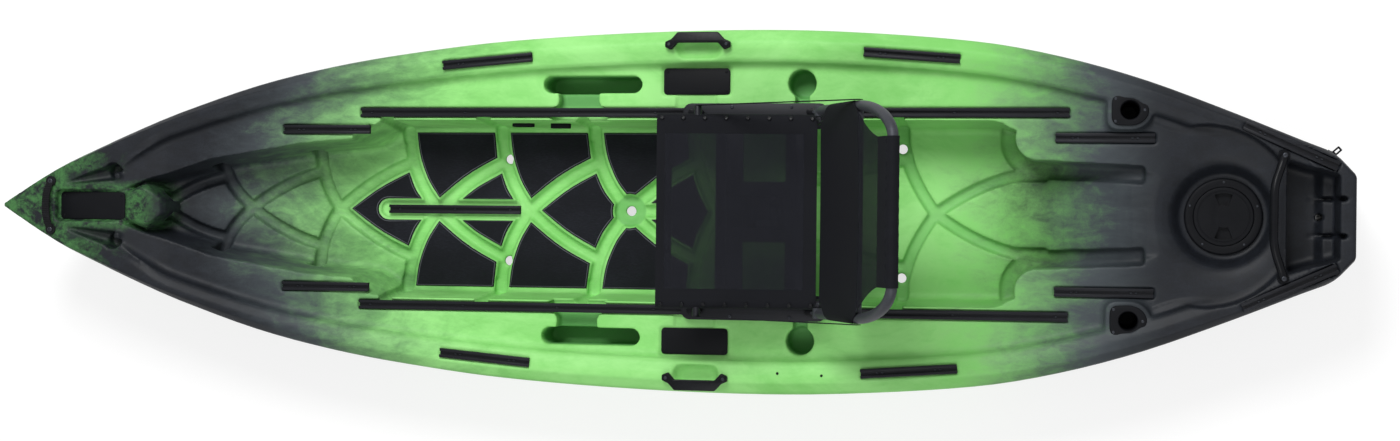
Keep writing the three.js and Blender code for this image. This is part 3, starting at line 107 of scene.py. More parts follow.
def curve_through(table: Table) -> Callable[[float], float]:
    """Smooth function through a table.

    Args:
        table: Pairs of place and value, in order of place.

    Returns:
        The function, held constant outside the table.
    """
    places = [row[0] for row in table]
    values = [row[1] for row in table]
    last = len(places) - 1
    slopes = []
    for i in range(last + 1):
        before, after = max(i - 1, 0), min(i + 1, last)
        slopes.append((values[after] - values[before]) / (places[after] - places[before]))

    def at(place: float) -> float:
        """Value at one place.

        Args:
            place: Where to read it.

        Returns:
            The value.
        """
        place = min(max(place, places[0]), places[last])
        i = max(k for k in range(last) if places[k] <= place or k == 0)
        span = places[i + 1] - places[i]
        t = (place - places[i]) / span
        t2, t3 = t * t, t * t * t
        return (
            (2 * t3 - 3 * t2 + 1) * values[i]
            + (t3 - 2 * t2 + t) * span * slopes[i]
            + (3 * t2 - 2 * t3) * values[i + 1]
            + (t3 - t2) * span * slopes[i + 1]
        )

    return at


def lines_through(table: Table, column: int) -> Callable[[float], float]:
    """Straight-line function through one column of a table.

    Args:
        table: Rows that start with the place, in order of place.
        column: Number of the column that holds the value.

    Returns:
        The function, held constant outside the table.
    """

    def at(place: float) -> float:
        """Value at one place.

        Args:
            place: Where to read it.

        Returns:
            The value.
        """
        place = min(max(place, table[0][0]), table[-1][0])
        i = max(k for k in range(len(table) - 1) if table[k][0] <= place or k == 0)
        share = (place - table[i][0]) / (table[i + 1][0] - table[i][0])
        return lerp(table[i][column], table[i + 1][column], share)

    return at


def arc(x: float, y: float, radius: float, start: float, end: float, steps: int) -> Plan:
    """Points on an arc, angles in degrees."""
    angles = [math.radians(lerp(start, end, i / steps)) for i in range(steps + 1)]
    return [(x + radius * math.cos(a), y + radius * math.sin(a)) for a in angles]


def rounded(x0: float, x1: float, y0: float, y1: float, corner: float, steps: int = 6) -> Plan:
    """Outline of a rectangle with rounded corners, anticlockwise.

    Args:
        x0: Least X.
        x1: Largest X.
        y0: Least Y.
        y1: Largest Y.
        corner: Radius of the corners.
        steps: Steps in each corner.

    Returns:
        The outline.
    """
    r = min(corner, (x1 - x0) / 2 - 1e-5, (y1 - y0) / 2 - 1e-5)
    return [
        *arc(x1 - r, y0 + r, r, -90, 0, steps),
        *arc(x1 - r, y1 - r, r, 0, 90, steps),
        *arc(x0 + r, y1 - r, r, 90, 180, steps),
        *arc(x0 + r, y0 + r, r, 180, 270, steps),
    ]


def circle(x: float, y: float, radius: float, steps: int = 32) -> Plan:
    """Outline of a circle, anticlockwise."""
    return arc(x, y, radius, 0, 360 * (1 - 1 / steps), steps - 1)


def level(outline: Plan, height: float) -> Ring:
    """Plan outline as a ring at one height."""
    return [Vector((x, y, height)) for x, y in outline]


def mirrored(rings: Iterable[Ring], side: Side) -> list[Ring]:
    """Rings of the starboard side, turned over to the side that is asked for."""
    return [[Vector((p.x, p.y * side.value, p.z)) for p in ring] for ring in rings]


def object_from(name: str, work: Work) -> Piece:
    """New object at the origin that holds a finished bmesh.

    Args:
        name: Name of the object and of its mesh.
        work: The bmesh, which is freed.

    Returns:
        The linked object.
    """
    mesh = bpy.data.meshes.new(name)
    work.to_mesh(mesh)
    work.free()
    made = bpy.data.objects.new(name, mesh)
    bpy.context.scene.collection.objects.link(made)
    return made


def add_loft(work: Work, rings: Sequence[Ring], capped: bool = True, looped: bool = False) -> None:
    """Adds a skin through closed rings to a bmesh.

    Args:
        work: The bmesh to add to.
        rings: Rings of the same number of points.
        capped: Closes the two ends.
        looped: Joins the last ring to the first.
    """
    skin = bmesh.new()
    count = len(rings[0])
    steps = len(rings) if looped else len(rings) - 1
    bmesh.ops.create_grid(skin, x_segments=steps, y_segments=count, size=1)
    for vert in skin.verts:
        i = round((vert.co.x + 1) / 2 * steps) % len(rings)
        j = round((vert.co.y + 1) / 2 * count) % count
        vert.co = rings[i][j]
    bmesh.ops.remove_doubles(skin, verts=skin.verts, dist=1e-6)
    if capped and not looped:
        bmesh.ops.holes_fill(skin, edges=skin.edges, sides=0)
    bmesh.ops.recalc_face_normals(skin, faces=skin.faces)
    held = bpy.data.meshes.new("held")
    skin.to_mesh(held)
    skin.free()
    work.from_mesh(held)
    bpy.data.meshes.remove(held)


def loft(name: str, rings: Sequence[Ring]) -> Piece:
    """Closed solid through rings, as an object.

    Args:
        name: Name of the object.
        rings: Its rings, from end to end.

    Returns:
        The object.
    """
    work = bmesh.new()
    add_loft(work, rings)
    return object_from(name, work)


def evaluated(piece: Piece) -> Piece:
    """Applies a piece's modifiers to its mesh.

    Args:
        piece: The object.

    Returns:
        The same object, with no modifier left.
    """
    graph = bpy.context.evaluated_depsgraph_get()
    mesh = bpy.data.meshes.new_from_object(piece.evaluated_get(graph))
    old = piece.data
    piece.modifiers.clear()
    piece.data = mesh
    bpy.data.meshes.remove(old)
    return piece


def modifier(piece: Piece, kind: str, **settings: Any) -> bpy.types.Modifier:
    """Adds a modifier with its settings.

    Args:
        piece: The piece.
        kind: Type of the modifier.
        **settings: Its settings.

    Returns:
        The modifier.
    """
    added = piece.modifiers.new(kind.lower(), kind)
    for key, value in settings.items():
        setattr(added, key, value)
    return added


def smooth_shaded(piece: Piece, angle: float = 180.0) -> Piece:
    """Shades a piece smooth, with edges over an angle in degrees left sharp.

    Args:
        piece: The piece.
        angle: The angle in degrees.

    Returns:
        The same piece.
    """
    for polygon in piece.data.polygons:
        polygon.use_smooth = True
    if angle < 180.0:
        piece.data.set_sharp_from_angle(angle=math.radians(angle))
    return piece


def joined(name: str, parts: Sequence[Piece]) -> Piece:
    """Joins several objects into one mesh, keeping their materials.

    Args:
        name: Name of the new object.
        parts: The objects, which are removed.

    Returns:
        The joined object.
    """
    work = bmesh.new()
    materials: list[Finish] = []
    for part in parts:
        start = len(work.faces)
        work.from_mesh(part.data)
        work.faces.ensure_lookup_table()
        shift = {}
        for i, material in enumerate(part.data.materials):
            if material not in materials:
                materials.append(material)
            shift[i] = materials.index(material)
        for face in work.faces[start:]:
            face.material_index = shift.get(face.material_index, 0)
        bpy.data.meshes.remove(part.data)
    made = object_from(name, work)
    for material in materials:
        made.data.materials.append(material)
    return made


class Carver:
    """Cuts and joins closed tools on one body, and applies them all at once."""

    def __init__(self, body: Piece) -> None:
        """Starts with the body that is carved."""
        self.body = body
        self.tools: list[Piece] = []

    def _change(self, tools: Iterable[Sequence[Ring]], operation: str) -> None:
        """Adds one Boolean modifier for each tool.

        Args:
            tools: Rings of each tool.
            operation: Boolean operation.
        """
        for rings in tools:
            tool = loft("tool", rings)
            tool.hide_render = True
            self.tools.append(tool)
            modifier(self.body, "BOOLEAN", operation=operation, solver="MANIFOLD", object=tool)

    def cut(self, tools: Iterable[Sequence[Ring]]) -> None:
        """Takes the tools away from the body."""
        self._change(tools, "DIFFERENCE")

    def join(self, tools: Iterable[Sequence[Ring]]) -> None:
        """Adds the tools to the body."""
        self._change(tools, "UNION")

    def finished(self) -> Piece:
        """The carved body, with its tools removed.

        Returns:
            The body.
        """
        evaluated(self.body)
        for tool in self.tools:
            bpy.data.meshes.remove(tool.data)
        return self.body


class Strand:
    """A number's socket in a material, with Python's arithmetic."""

    def __init__(self, web: "Web", socket: Socket) -> None:
        """Wraps one output socket."""
        self.web = web
        self.socket = socket

    def _math(self, operation: str, *values: Any) -> "Strand":
        """Adds one Math node."""
        made = self.web.node("ShaderNodeMath", {"operation": operation}, dict(enumerate(values)))
        return Strand(self.web, made.outputs[0])

    def __add__(self, other: Any) -> "Strand":
        """Sum."""
        return self._math("ADD", self, other)

    __radd__ = __add__

    def __sub__(self, other: Any) -> "Strand":
        """Difference."""
        return self._math("SUBTRACT", self, other)

    def __rsub__(self, other: Any) -> "Strand":
        """Difference, from a number."""
        return self._math("SUBTRACT", other, self)

    def __mul__(self, other: Any) -> "Strand":
        """Product."""
        return self._math("MULTIPLY", self, other)

    __rmul__ = __mul__

    def largest(self, other: Any) -> "Strand":
        """Larger of two values."""
        return self._math("MAXIMUM", self, other)

    def sine(self) -> "Strand":
        """Sine."""
        return self._math("SINE", self)

    def size(self) -> "Strand":
        """Value without its sign."""
        return self._math("ABSOLUTE", self)

    def ramp(self, low: float, high: float) -> "Strand":
        """Smooth step from 0 at low to 1 at high.

        Args:
            low: Value at its start.
            high: Value at its end.

        Returns:
            The step.
        """
        made = self.web.node(
            "ShaderNodeMapRange",
            {"interpolation_type": "SMOOTHSTEP"},
            {"Value": self, "From Min": low, "From Max": high},
        )
        return Strand(self.web, made.outputs[0])

    def within(self, rise: Pair, fall: Pair) -> "Strand":
        """1 between a smooth step up and a smooth step down, 0 outside them."""
        return self.ramp(*rise) * (1 - self.ramp(*fall))


Colour = tuple[float, float, float]


def shade(code: int) -> Colour:
    """Linear colour of a screen colour written as 0xRRGGBB."""
    parts = [(code >> shift & 255) / 255 for shift in (16, 8, 0)]
    return tuple(c / 12.92 if c <= 0.04045 else ((c + 0.055) / 1.055) ** 2.4 for c in parts)


class Web:
    """The nodes of one material."""

    def __init__(self, name: str) -> None:
        """Starts an empty material of that name.

        Args:
            name: Name of the material.
        """
        self.material = bpy.data.materials.new(name)
        self.material.use_nodes = True
        self.tree = self.material.node_tree
        self.tree.nodes.clear()

    def node(self, kind: str, settings: dict[str, Any] | None = None,
             values: dict[Any, Any] | None = None) -> bpy.types.Node:
        """Adds one node.

        Args:
            kind: Type of the node.
            settings: Its properties, set first.
            values: Values or links of its input sockets, by name or number.

        Returns:
            The node.
        """
        made = self.tree.nodes.new(kind)
        for key, value in (settings or {}).items():
            setattr(made, key, value)
        for key, value in (values or {}).items():
            socket = value.socket if isinstance(value, Strand) else value
            if isinstance(socket, Socket):
                self.tree.links.new(socket, made.inputs[key])
            elif isinstance(socket, tuple) and len(made.inputs[key].default_value) == 4:
                made.inputs[key].default_value = (*socket, 1.0)
            else:
                made.inputs[key].default_value = socket
        return made

    def place(self) -> Socket:
        """Object coordinates, in metres."""
        return self.node("ShaderNodeTexCoord").outputs["Object"]

    def axes(self, vector: Socket | None = None) -> tuple[Strand, Strand, Strand]:
        """The three numbers of a vector, or of the place."""
        split = self.node("ShaderNodeSeparateXYZ", None, {0: vector or self.place()})
        return tuple(Strand(self, out) for out in split.outputs)

    def stretched(self, x: float, y: float, z: float) -> Socket:
        """Object coordinates, scaled by axis."""
        return self.node("ShaderNodeMapping", None, {"Vector": self.place(), "Scale": (x, y, z)}).outputs[0]

    def noise(self, scale: float, detail: float = 2.0, rough: float = 0.5, bend: float = 0.0,
              vector: Socket | None = None) -> Strand:
        """Noise of about 0 to 1.

        Args:
            scale: Scale.
            detail: Octaves.
            rough: Weight of the finer octaves.
            bend: Distortion.
            vector: Place, or None for the object's own.

        Returns:
            The noise.
        """
        values = {"Vector": vector or self.place(), "Scale": scale, "Detail": detail, "Roughness": rough}
        made = self.node("ShaderNodeTexNoise", None, {**values, "Distortion": bend})
        return Strand(self, made.outputs[0])

    def blend(self, first: Any, second: Any, share: Any) -> Socket:
        """Colour between two colours."""
        return self.node("ShaderNodeMix", {"data_type": "RGBA"}, {0: share, 6: first, 7: second}).outputs[2]

    def bump(self, height: Strand, distance: float, strength: float = 1.0) -> Socket:
        """Normal of a height field, its distance in metres."""
        values = {"Height": height, "Distance": distance, "Strength": strength}
        return self.node("ShaderNodeBump", None, values).outputs[0]

    def surface(self, **sockets: Any) -> Finish:
        """Finishes the material with one Principled shader.

        Args:
            **sockets: Values or links, by socket name with underscores for spaces.

        Returns:
            The material.
        """
        values = {key.replace("_", " "): value for key, value in sockets.items()}
        shader = self.node("ShaderNodeBsdfPrincipled", None, values)
        self.node("ShaderNodeOutputMaterial", None, {"Surface": shader.outputs[0]})
        return self.material


@dataclass(frozen=True)
class MouldedHull:
    """Lime polyethylene that fades to mottled black at both ends, with painted shade in its hollows."""

    lime: Colour = shade(0x77BF63)
    bright: Colour = shade(0x90D27C)
    moss: Colour = shade(0x3F6C3D)
    # The deep green is painted shade for the hollows.
    deep: Colour = shade(0x488A49)
    black: Colour = shade(0x131519)
    soot: Colour = shade(0x1D2026)
    slate: Colour = shade(0x454C50)
    bow_fade: Pair = (-1.12, -0.58)
    bow_shift: Pair = (0.06, 0.8)
    stern_fade: Pair = (0.7, 1.09)
    haze: tuple[Pair, Pair] = ((0.72, 0.87), (1.03, 1.24))
    # Below this height the haze fades out, leaving the low valleys dark as painted shade.
    haze_height: Pair = (0.13, 0.19)
    bow_haze: tuple[Pair, Pair] = ((-1.24, -1.0), (-0.7, -0.5))
    tip_fade: Pair = (-1.45, -1.34)
    plate_start: Pair = (-1.492, -1.468)
    inboard: Pair = (0.078, 0.1)
    nose: Pair = (-1.3, -1.225)
    nose_side: Pair = (0.045, 0.07)
    # Bounds of the painted shade in the pockets, the cup holders and the grooves.
    pocket_height: tuple[Pair, Pair] = ((0.16, 0.172), (0.24, 0.284))
    pocket_side: tuple[Pair, Pair] = ((0.236, 0.262), (0.352, 0.365))
    pocket_end: Pair = (0.5, 0.56)
    groove_height: tuple[Pair, Pair] = ((0.08, 0.085), (0.098, 0.109))
    groove_side: Pair = (0.235, 0.25)
    rear_grooves: tuple[Pair, Pair] = ((0.5, 0.6), (1.0, 1.1))
    ring_x: float = -0.0873
    ring_squared: Pair = (0.0013, 0.0018)

    def ends(self, web: Web, x: Strand, y: Strand) -> Strand:
        """Share of mossy green at the bow's tip and on the nose behind its plate.

        Args:
            web: Nodes of the material.
            x: Place along the boat.
            y: Place across it.

        Returns:
            The share, broken up into blotches.
        """
        blotch = web.noise(17.0, 9.0, 0.74, 0.5)
        speck = web.noise(95.0, 6.0, 0.7, 0.3)
        ragged = (blotch - 0.5) * 0.5
        inboard = 1 - (y.size() + ragged * 0.1).ramp(*self.inboard)
        between = inboard * (x + ragged * 0.15).ramp(*self.plate_start)
        tip = (1 - (x + ragged).ramp(*self.tip_fade)) * (1 - between * 0.85)
        nose = 1 - (x + ragged * 0.4).ramp(*self.nose)
        narrow = 1 - (y.size() + ragged * 0.15).ramp(*self.nose_side)
        cover = (blotch * 0.7 + speck * 0.3).ramp(0.41, 0.6)
        return tip.largest(nose * narrow) * cover

    def pooled(self, x: Strand, y: Strand, z: Strand) -> Strand:
        """Share of painted shade: a deeper green low in the pockets, the cup holders and the rear grooves,
        and round the centre ring.

        Args:
            x: Place along the boat.
            y: Place across it.
            z: Height.

        Returns:
            The share.
        """
        side, along = y.size(), x - self.ring_x
        pockets = z.within(*self.pocket_height) * side.within(*self.pocket_side)
        pockets = pockets * (1 - x.size().ramp(*self.pocket_end))
        grooves = z.within(*self.groove_height) * (1 - side.ramp(*self.groove_side))
        ring = 1 - (along * along + y * y).ramp(*self.ring_squared)
        return pockets.largest(grooves * (x.within(*self.rear_grooves) * 0.4).largest(ring * 0.6))

    def material(self) -> Finish:
        """Builds the finish.

        Returns:
            The hull's material.
        """
        web = Web("moulded_hull")
        x, y, z = web.axes()
        marble = web.noise(4.2, 7.0, 0.66, 0.9, web.stretched(0.6, 1.0, 1.0))
        smear = web.noise(34.0, 6.0, 0.7, 0.4, web.stretched(0.5, 1.0, 1.0))
        grain = web.noise(260.0, 4.0, 0.65)
        drift = (marble - 0.5) * 0.44 + (smear - 0.5) * 0.28 + (grain - 0.5) * 0.05
        lead, lag = self.bow_shift
        forward = x + lead - y.size() * lag
        middle = (forward + drift).ramp(*self.bow_fade) * (1 - (x + drift * 0.85).ramp(*self.stern_fade))
        green = web.blend(self.lime, self.bright, (marble * 0.7 + smear * 0.3).ramp(0.35, 0.65))
        dark = web.blend(self.black, self.soot, (smear * 0.55 + grain * 0.45).ramp(0.35, 0.7))
        # Slate tone of the stern fade on the higher surfaces; low valleys keep the dark colour as painted
        # shade.
        stern_haze = (x + drift * 0.4).within(*self.haze) * z.ramp(*self.haze_height)
        bow_haze = (forward + drift * 0.4).within(*self.bow_haze)
        dark = web.blend(dark, self.slate, stern_haze.largest(bow_haze) * 0.75)
        mossy = web.blend(dark, self.moss, self.ends(web, x, y))
        # Blends in the deep green as painted shade in the hollows.
        colour = web.blend(web.blend(mossy, green, middle), self.deep, self.pooled(x, y, z) * 0.75)
        pebble = web.noise(520.0, 2.0, 0.5)
        normal = web.bump(pebble + grain * 0.5, 0.0004, 0.3)
        return web.surface(Base_Color=colour, Roughness=0.42 + grain * 0.14,
                           Specular_IOR_Level=0.16, Normal=normal)


@dataclass(frozen=True)
class MouldedBlack:
    """Satin black plastic with a fine moulded texture."""

    name: str = "black_plastic"
    colour: Colour = shade(0x0C0D10)
    worn: Colour = shade(0x16171B)
    roughness: float = 0.46

    def material(self) -> Finish:
        """Builds the finish.

        Returns:
            The material.
        """
        web = Web(self.name)
        grain = web.noise(700.0, 3.0, 0.6)
        cloud = web.noise(22.0, 3.0, 0.6)
        colour = web.blend(self.colour, self.worn, (cloud * 0.7 + grain * 0.3).ramp(0.45, 0.85) * 0.5)
        return web.surface(Base_Color=colour, Roughness=self.roughness + cloud * 0.12,
                           Specular_IOR_Level=0.08, Normal=web.bump(grain, 0.0003, 0.3))


@dataclass(frozen=True)
class Anodised:
    """Anodised aluminium, drawn along X."""

    name: str = "black_aluminium"
    colour: Colour = shade(0x121317)
    worn: Colour = shade(0x212329)
    metallic: float = 0.35
    roughness: float = 0.38

    def material(self) -> Finish:
        """Builds the finish.

        Returns:
            The material.
        """
        web = Web(self.name)
        drawn = web.noise(300.0, 3.0, 0.6, 0.0, web.stretched(0.02, 1.0, 1.0))
        cloud = web.noise(14.0, 3.0, 0.5)
        colour = web.blend(self.colour, self.worn, (drawn * 0.6 + cloud * 0.4).ramp(0.4, 0.8) * 0.6)
        return web.surface(Base_Color=colour, Metallic=self.metallic, Roughness=self.roughness + drawn * 0.15,
                           Specular_IOR_Level=0.2, Normal=web.bump(drawn, 0.0002, 0.25))


@dataclass(frozen=True)
class PadFoam:
    """Closed-cell foam with a brushed face."""

    name: str = "floor_foam"
    colour: Colour = shade(0x17181C)
    fleck: Colour = shade(0x24252C)

    def material(self) -> Finish:
        """Builds the finish.

        Returns:
            The material.
        """
        web = Web(self.name)
        brushed = web.noise(900.0, 3.0, 0.7, 0.0, web.stretched(0.12, 1.0, 1.0))
        cell = web.noise(1500.0, 2.0, 0.6)
        cloud = web.noise(9.0, 3.0, 0.5)
        colour = web.blend(self.colour, self.fleck, (brushed * 0.6 + cloud * 0.4).ramp(0.42, 0.75))
        return web.surface(Base_Color=colour, Roughness=0.86 + cell * 0.1, Specular_IOR_Level=0.1,
                           Normal=web.bump(cell + brushed, 0.0005, 0.5))


@dataclass(frozen=True)
class SeatMesh:
    """Open woven mesh: dark threads over small holes."""

    name: str = "seat_mesh"
    thread: Colour = shade(0x16171C)
    light: Colour = shade(0x24262D)
    pitch: float = 0.0022
    cover: float = 0.77
    hem: Colour = shade(0x0B0C0F)

    def material(self) -> Finish:
        """Builds the finish.

        Returns:
            The material.
        """
        web = Web(self.name)
        u, v, _ = web.axes(web.node("ShaderNodeUVMap").outputs[0])
        turns = 2 * math.pi / self.pitch
        warp = (u * turns).sine() * 0.5 + 0.5
        weft = (v * turns).sine() * 0.5 + 0.5
        weave = warp * weft
        cloud = web.noise(30.0, 3.0, 0.6)
        colour = web.blend(self.thread, self.light, (weave * 0.6 + cloud * 0.4).ramp(0.3, 0.8))
        double = Strand(web, web.node("ShaderNodeAttribute", {"attribute_name": "double"}).outputs["Fac"])
        cover = (self.cover - 0.04 + cloud * 0.08).largest(double)
        colour = web.blend(colour, self.hem, double * 0.7)
        return web.surface(Base_Color=colour, Roughness=0.78, Alpha=cover, Specular_IOR_Level=0.1,
                           Normal=web.bump(weave, 0.0005, 0.6))


@dataclass(frozen=True)
class Webbing:
    """Flat woven strap with ribs across its length."""

    colour: Colour = shade(0x0E0F12)
    light: Colour = shade(0x1C1D21)
    pitch: float = 0.0016

    def material(self) -> Finish:
        """Builds the finish.

        Returns:
            The material.
        """
        web = Web("webbing")
        x, _, z = web.axes()
        rib = ((x + z) * (2 * math.pi / self.pitch)).sine() * 0.5 + 0.5
        fuzz = web.noise(900.0, 2.0, 0.6)
        colour = web.blend(self.colour, self.light, rib * 0.5 + fuzz * 0.4)
        return web.surface(Base_Color=colour, Roughness=0.85, Specular_IOR_Level=0.12,
                           Normal=web.bump(rib + fuzz, 0.0004, 0.6))


@dataclass(frozen=True)
class Rubber:
    """Matt black rubber."""

    colour: Colour = shade(0x121214)
    dust: Colour = shade(0x1C1D20)

    def material(self) -> Finish:
        """Builds the finish.

        Returns:
            The material.
        """
        web = Web("rubber")
        cloud = web.noise(60.0, 4.0, 0.6)
        colour = web.blend(self.colour, self.dust, cloud.ramp(0.45, 0.8))
        return web.surface(Base_Color=colour, Roughness=0.78 + cloud * 0.1, Specular_IOR_Level=0.12,
                           Normal=web.bump(web.noise(800.0, 2.0, 0.5), 0.0003, 0.4))


@dataclass(frozen=True)
class Finishes:
    """Every finish of the boat, built once."""

    hull: Finish = field(default_factory=lambda: MouldedHull().material())
    plastic: Finish = field(default_factory=lambda: MouldedBlack().material())
    metal: Finish = field(default_factory=lambda: Anodised().material())
    tube: Finish = field(default_factory=lambda: Anodised(
        "satin_tube", shade(0x34363B), shade(0x4A4C52), 0.35, 0.45).material())
    screw: Finish = field(default_factory=lambda: Anodised(
        "screw_steel", shade(0x2E3035), shade(0x4C4F55), 0.7, 0.32).material())
    foam: Finish = field(default_factory=lambda: PadFoam().material())
    foam_edge: Finish = field(
        default_factory=lambda: PadFoam("foam_edge", shade(0x53565A), shade(0x6B6E71)).material())
    mesh: Finish = field(default_factory=lambda: SeatMesh().material())
    sleeve: Finish = field(default_factory=lambda: SeatMesh(
        "seat_sleeve", shade(0x0E0F13), shade(0x1A1C22), 0.0022, 1.1).material())
    webbing: Finish = field(default_factory=lambda: Webbing().material())
    rubber: Finish = field(default_factory=lambda: Rubber().material())
    gloss: Finish = field(default_factory=lambda: MouldedBlack(
        "gloss_plastic", shade(0x0F1013), shade(0x1A1B1F), 0.22).material())


@dataclass(frozen=True)
class Gate:
    """One pair of floor grooves that meets on the centre line, in shares of the half length."""

    wall: float
    reach: float
    node: float
    start: float
    bend: float


@dataclass(frozen=True)
class HullLines:
    """Outline, sheer, keel and deck of the hull."""

    half_length: float = 1.65
    half_beam: float = 0.44
    depth: float = 0.322
    stem: float = 0.003
    gunwale: float = 0.07
    deck_drop: float = 0.035
    lean: float = 0.008
    top_half: float = 0.228
    floor_half: float = 0.21
    floor: float = 0.112
    outline: Table = (
        (-1, 0.007), (-0.918, 0.214), (-0.853, 0.336), (-0.79, 0.445), (-0.726, 0.545),
        (-0.599, 0.707), (-0.472, 0.818), (-0.347, 0.891), (-0.222, 0.944), (-0.039, 0.985), (0.15, 1),
        (0.3, 0.984), (0.487, 0.925), (0.599, 0.845), (0.709, 0.727), (0.818, 0.573), (0.925, 0.407),
        (0.972, 0.33), (1, 0.223),
    )
    sheers: Table = (
        (-1, 1.24), (-0.85, 1.165), (-0.7, 1.09), (-0.55, 1.035), (-0.4, 1.008), (-0.2, 1), (0.6, 1),
        (0.8, 1.01), (0.95, 1.03), (1, 1.04),
    )
    keels: Table = (
        (-1, 1.1), (-0.985, 0.8), (-0.965, 0.54), (-0.94, 0.34), (-0.9, 0.18), (-0.84, 0.08),
        (-0.75, 0.03), (-0.62, 0.006), (-0.5, 0.001), (-0.4, 0), (0.5, 0), (0.6, 0.001), (0.8, 0.02),
        (0.92, 0.06), (1, 0.11),
    )
    gunwales: Table = ((-1, 0.5), (-0.8, 0.62), (-0.5, 0.85), (-0.25, 1), (0.6, 1), (0.9, 0.8), (1, 0.75))
    section: Table = (
        (0, 0), (0.3, 0), (0.5, 0.003), (0.64, 0.025), (0.75, 0.06), (0.83, 0.12), (0.885, 0.2),
        (0.925, 0.32), (0.95, 0.45), (0.97, 0.58), (0.985, 0.72), (0.995, 0.82), (1, 0.88),
        (0.998, 0.92), (0.99, 0.945), (0.93, 1),
    )
    troughs: Table = (
        (-0.828, 0.1, 0.21, 0.9), (-0.778, 0.28, 0.37, 0.66), (-0.684, 0.5, 0.6, 0.42),
        (-0.549, 0.68, 0.75, 0.095), (-0.521, 0.71, 0.77, 0), (-0.462, 0.75, 0.8, 0),
        (-0.455, 0.76, 0.9, 0), (-0.446, 0.78, 0.97, 0), (-0.435, 0.83, 1, 0), (-0.42, 0.92, 1, 0),
        (-0.404, 1, 1, 0), (0.49, 1, 1, 0), (0.4976, 1, 1, 0.004), (0.5067, 0.995, 0.991, 0.015),
        (0.5158, 0.985, 0.969, 0.04), (0.5237, 0.95, 0.934, 0.07), (0.5291, 0.9, 0.89, 0.09),
        (0.5322, 0.84, 0.833, 0.105), (0.5334, 0.78, 0.781, 0.11), (0.5352, 0.71, 0.715, 0.117),
        (0.537, 0.67, 0.678, 0.125), (0.5431, 0.61, 0.6215, 0.15), (0.5542, 0.565, 0.5776, 0.185),
        (0.573, 0.53, 0.55, 0.24), (0.6, 0.51, 0.535, 0.37), (0.62, 0.5, 0.525, 0.51),
        (0.64, 0.5, 0.523, 0.63), (0.66, 0.5, 0.523, 0.74), (0.68, 0.5, 0.523, 0.83),
        (0.7, 0.5, 0.523, 0.9), (0.72, 0.5, 0.523, 0.95), (0.74, 0.5, 0.523, 0.98),
        (0.76, 0.5, 0.523, 1.0), (0.78, 0.5, 0.523, 1.01),
    )

    def half_beam_at(self, x: float) -> float:
        """Half width of the hull."""
        return max(self.half_beam * curve_through(self.outline)(x / self.half_length), self.stem)

    def sheer_at(self, x: float) -> float:
        """Height of the gunwale."""
        return self.depth * curve_through(self.sheers)(x / self.half_length)

    def keel_at(self, x: float) -> float:
        """Height of the keel."""
        return self.depth * curve_through(self.keels)(x / self.half_length)

    def gunwale_at(self, x: float) -> float:
        """Width of the gunwale."""
        return self.gunwale * curve_through(self.gunwales)(x / self.half_length)

    def inner_at(self, x: float) -> float:
        """Half width inside the gunwales."""
        return self.half_beam_at(x) - self.gunwale_at(x)

    def deck_at(self, x: float) -> float:
        """Height of the side deck."""
        return self.sheer_at(x) - self.deck_drop

    def floor_half_at(self, x: float) -> float:
        """Half width of the floor."""
        return self.floor_half * lines_through(self.troughs, 1)(x / self.half_length)

    def top_half_at(self, x: float) -> float:
        """Half width of the cockpit at the deck."""
        return self.top_half * lines_through(self.troughs, 2)(x / self.half_length)

    def floor_at(self, x: float) -> float:
        """Height of the floor."""
        return lerp(self.floor, self.deck_at(x), lines_through(self.troughs, 3)(x / self.half_length))


LINES = HullLines()
OVER = 0.05
ROD_X = 1.1459
ROD_Y = 0.245


def rod_outline(side: Side, margin: float, steps: int = 48) -> Plan:
    """Outline of a rod holder's flange: round towards the stern, squarer towards the bow.

    Args:
        side: Side of the boat.
        margin: Distance by which the outline grows.
        steps: Number of points.

    Returns:
        The outline, anticlockwise.
    """
    long, wide = 0.0425 + margin, 0.036 + margin
    points = []
    for i in range(steps):
        angle = 2 * math.pi * i / steps
        along, across = math.cos(angle), math.sin(angle)
        power = 2.0 if along > 0 else 4.5
        reach = ((abs(along) / long) ** power + (abs(across) / wide) ** power) ** (-1 / power)
        points.append((ROD_X + reach * along, ROD_Y * side.value + reach * across))
    return points


def section(x: float, low_half: float, high_half: float, low: float, high: float, corner: float,
            middle: float = 0.0) -> Ring:
    """Trough section across the boat, its floor corners rounded.

    Args:
        x: Place along the boat.
        low_half: Half width of the floor.
        high_half: Half width at the top.
        low: Height of the floor.
        high: Height of the top.
        corner: Radius of the corners.
        middle: Y of the middle.

    Returns:
        The section.
    """
    r = min(corner, low_half * 0.9)
    right = arc(low_half - r, low + r, r, -90, 0, 4)
    left = [(-y, z) for y, z in reversed(right)]
    points = [*left, *right, (high_half, high), (-high_half, high)]
    return [Vector((x, middle + y, z)) for y, z in points]


Path = Callable[[float], Vector]


def bezier(a: Pair, b: Pair, c: Pair) -> Path:
    """Plan curve through a and c that bends towards b."""
    p, q, r = Vector(a), Vector(b), Vector(c)
    return lambda t: p * (1 - t) ** 2 + q * (2 * t * (1 - t)) + r * t**2


def straight(a: Pair, b: Pair) -> Path:
    """Plan line from a to b."""
    p, q = Vector(a), Vector(b)
    return lambda t: p.lerp(q, t)


def swept(path: Path, steps: int, profile: Plan, height: Callable[[float], float],
          reach: float = 0.0) -> list[Ring]:
    """Rings of a profile swept along a plan curve.

    Args:
        path: The curve, from 0 to 1.
        steps: Number of spans.
        profile: Points across and up.
        height: Surface height that the profile's zero follows, by X.
        reach: Share by which both ends run past the curve.

    Returns:
        One ring for each place on the curve.
    """
    rings = []
    for i in range(steps + 1):
        t = lerp(-reach, 1 + reach, i / steps)
        here, ahead = path(t), path(t + 0.01)
        along = (ahead - here).normalized()
        rings.append([Vector((here.x - along.y * across, here.y + along.x * across, height(here.x) + up))
                      for across, up in profile])
    return rings


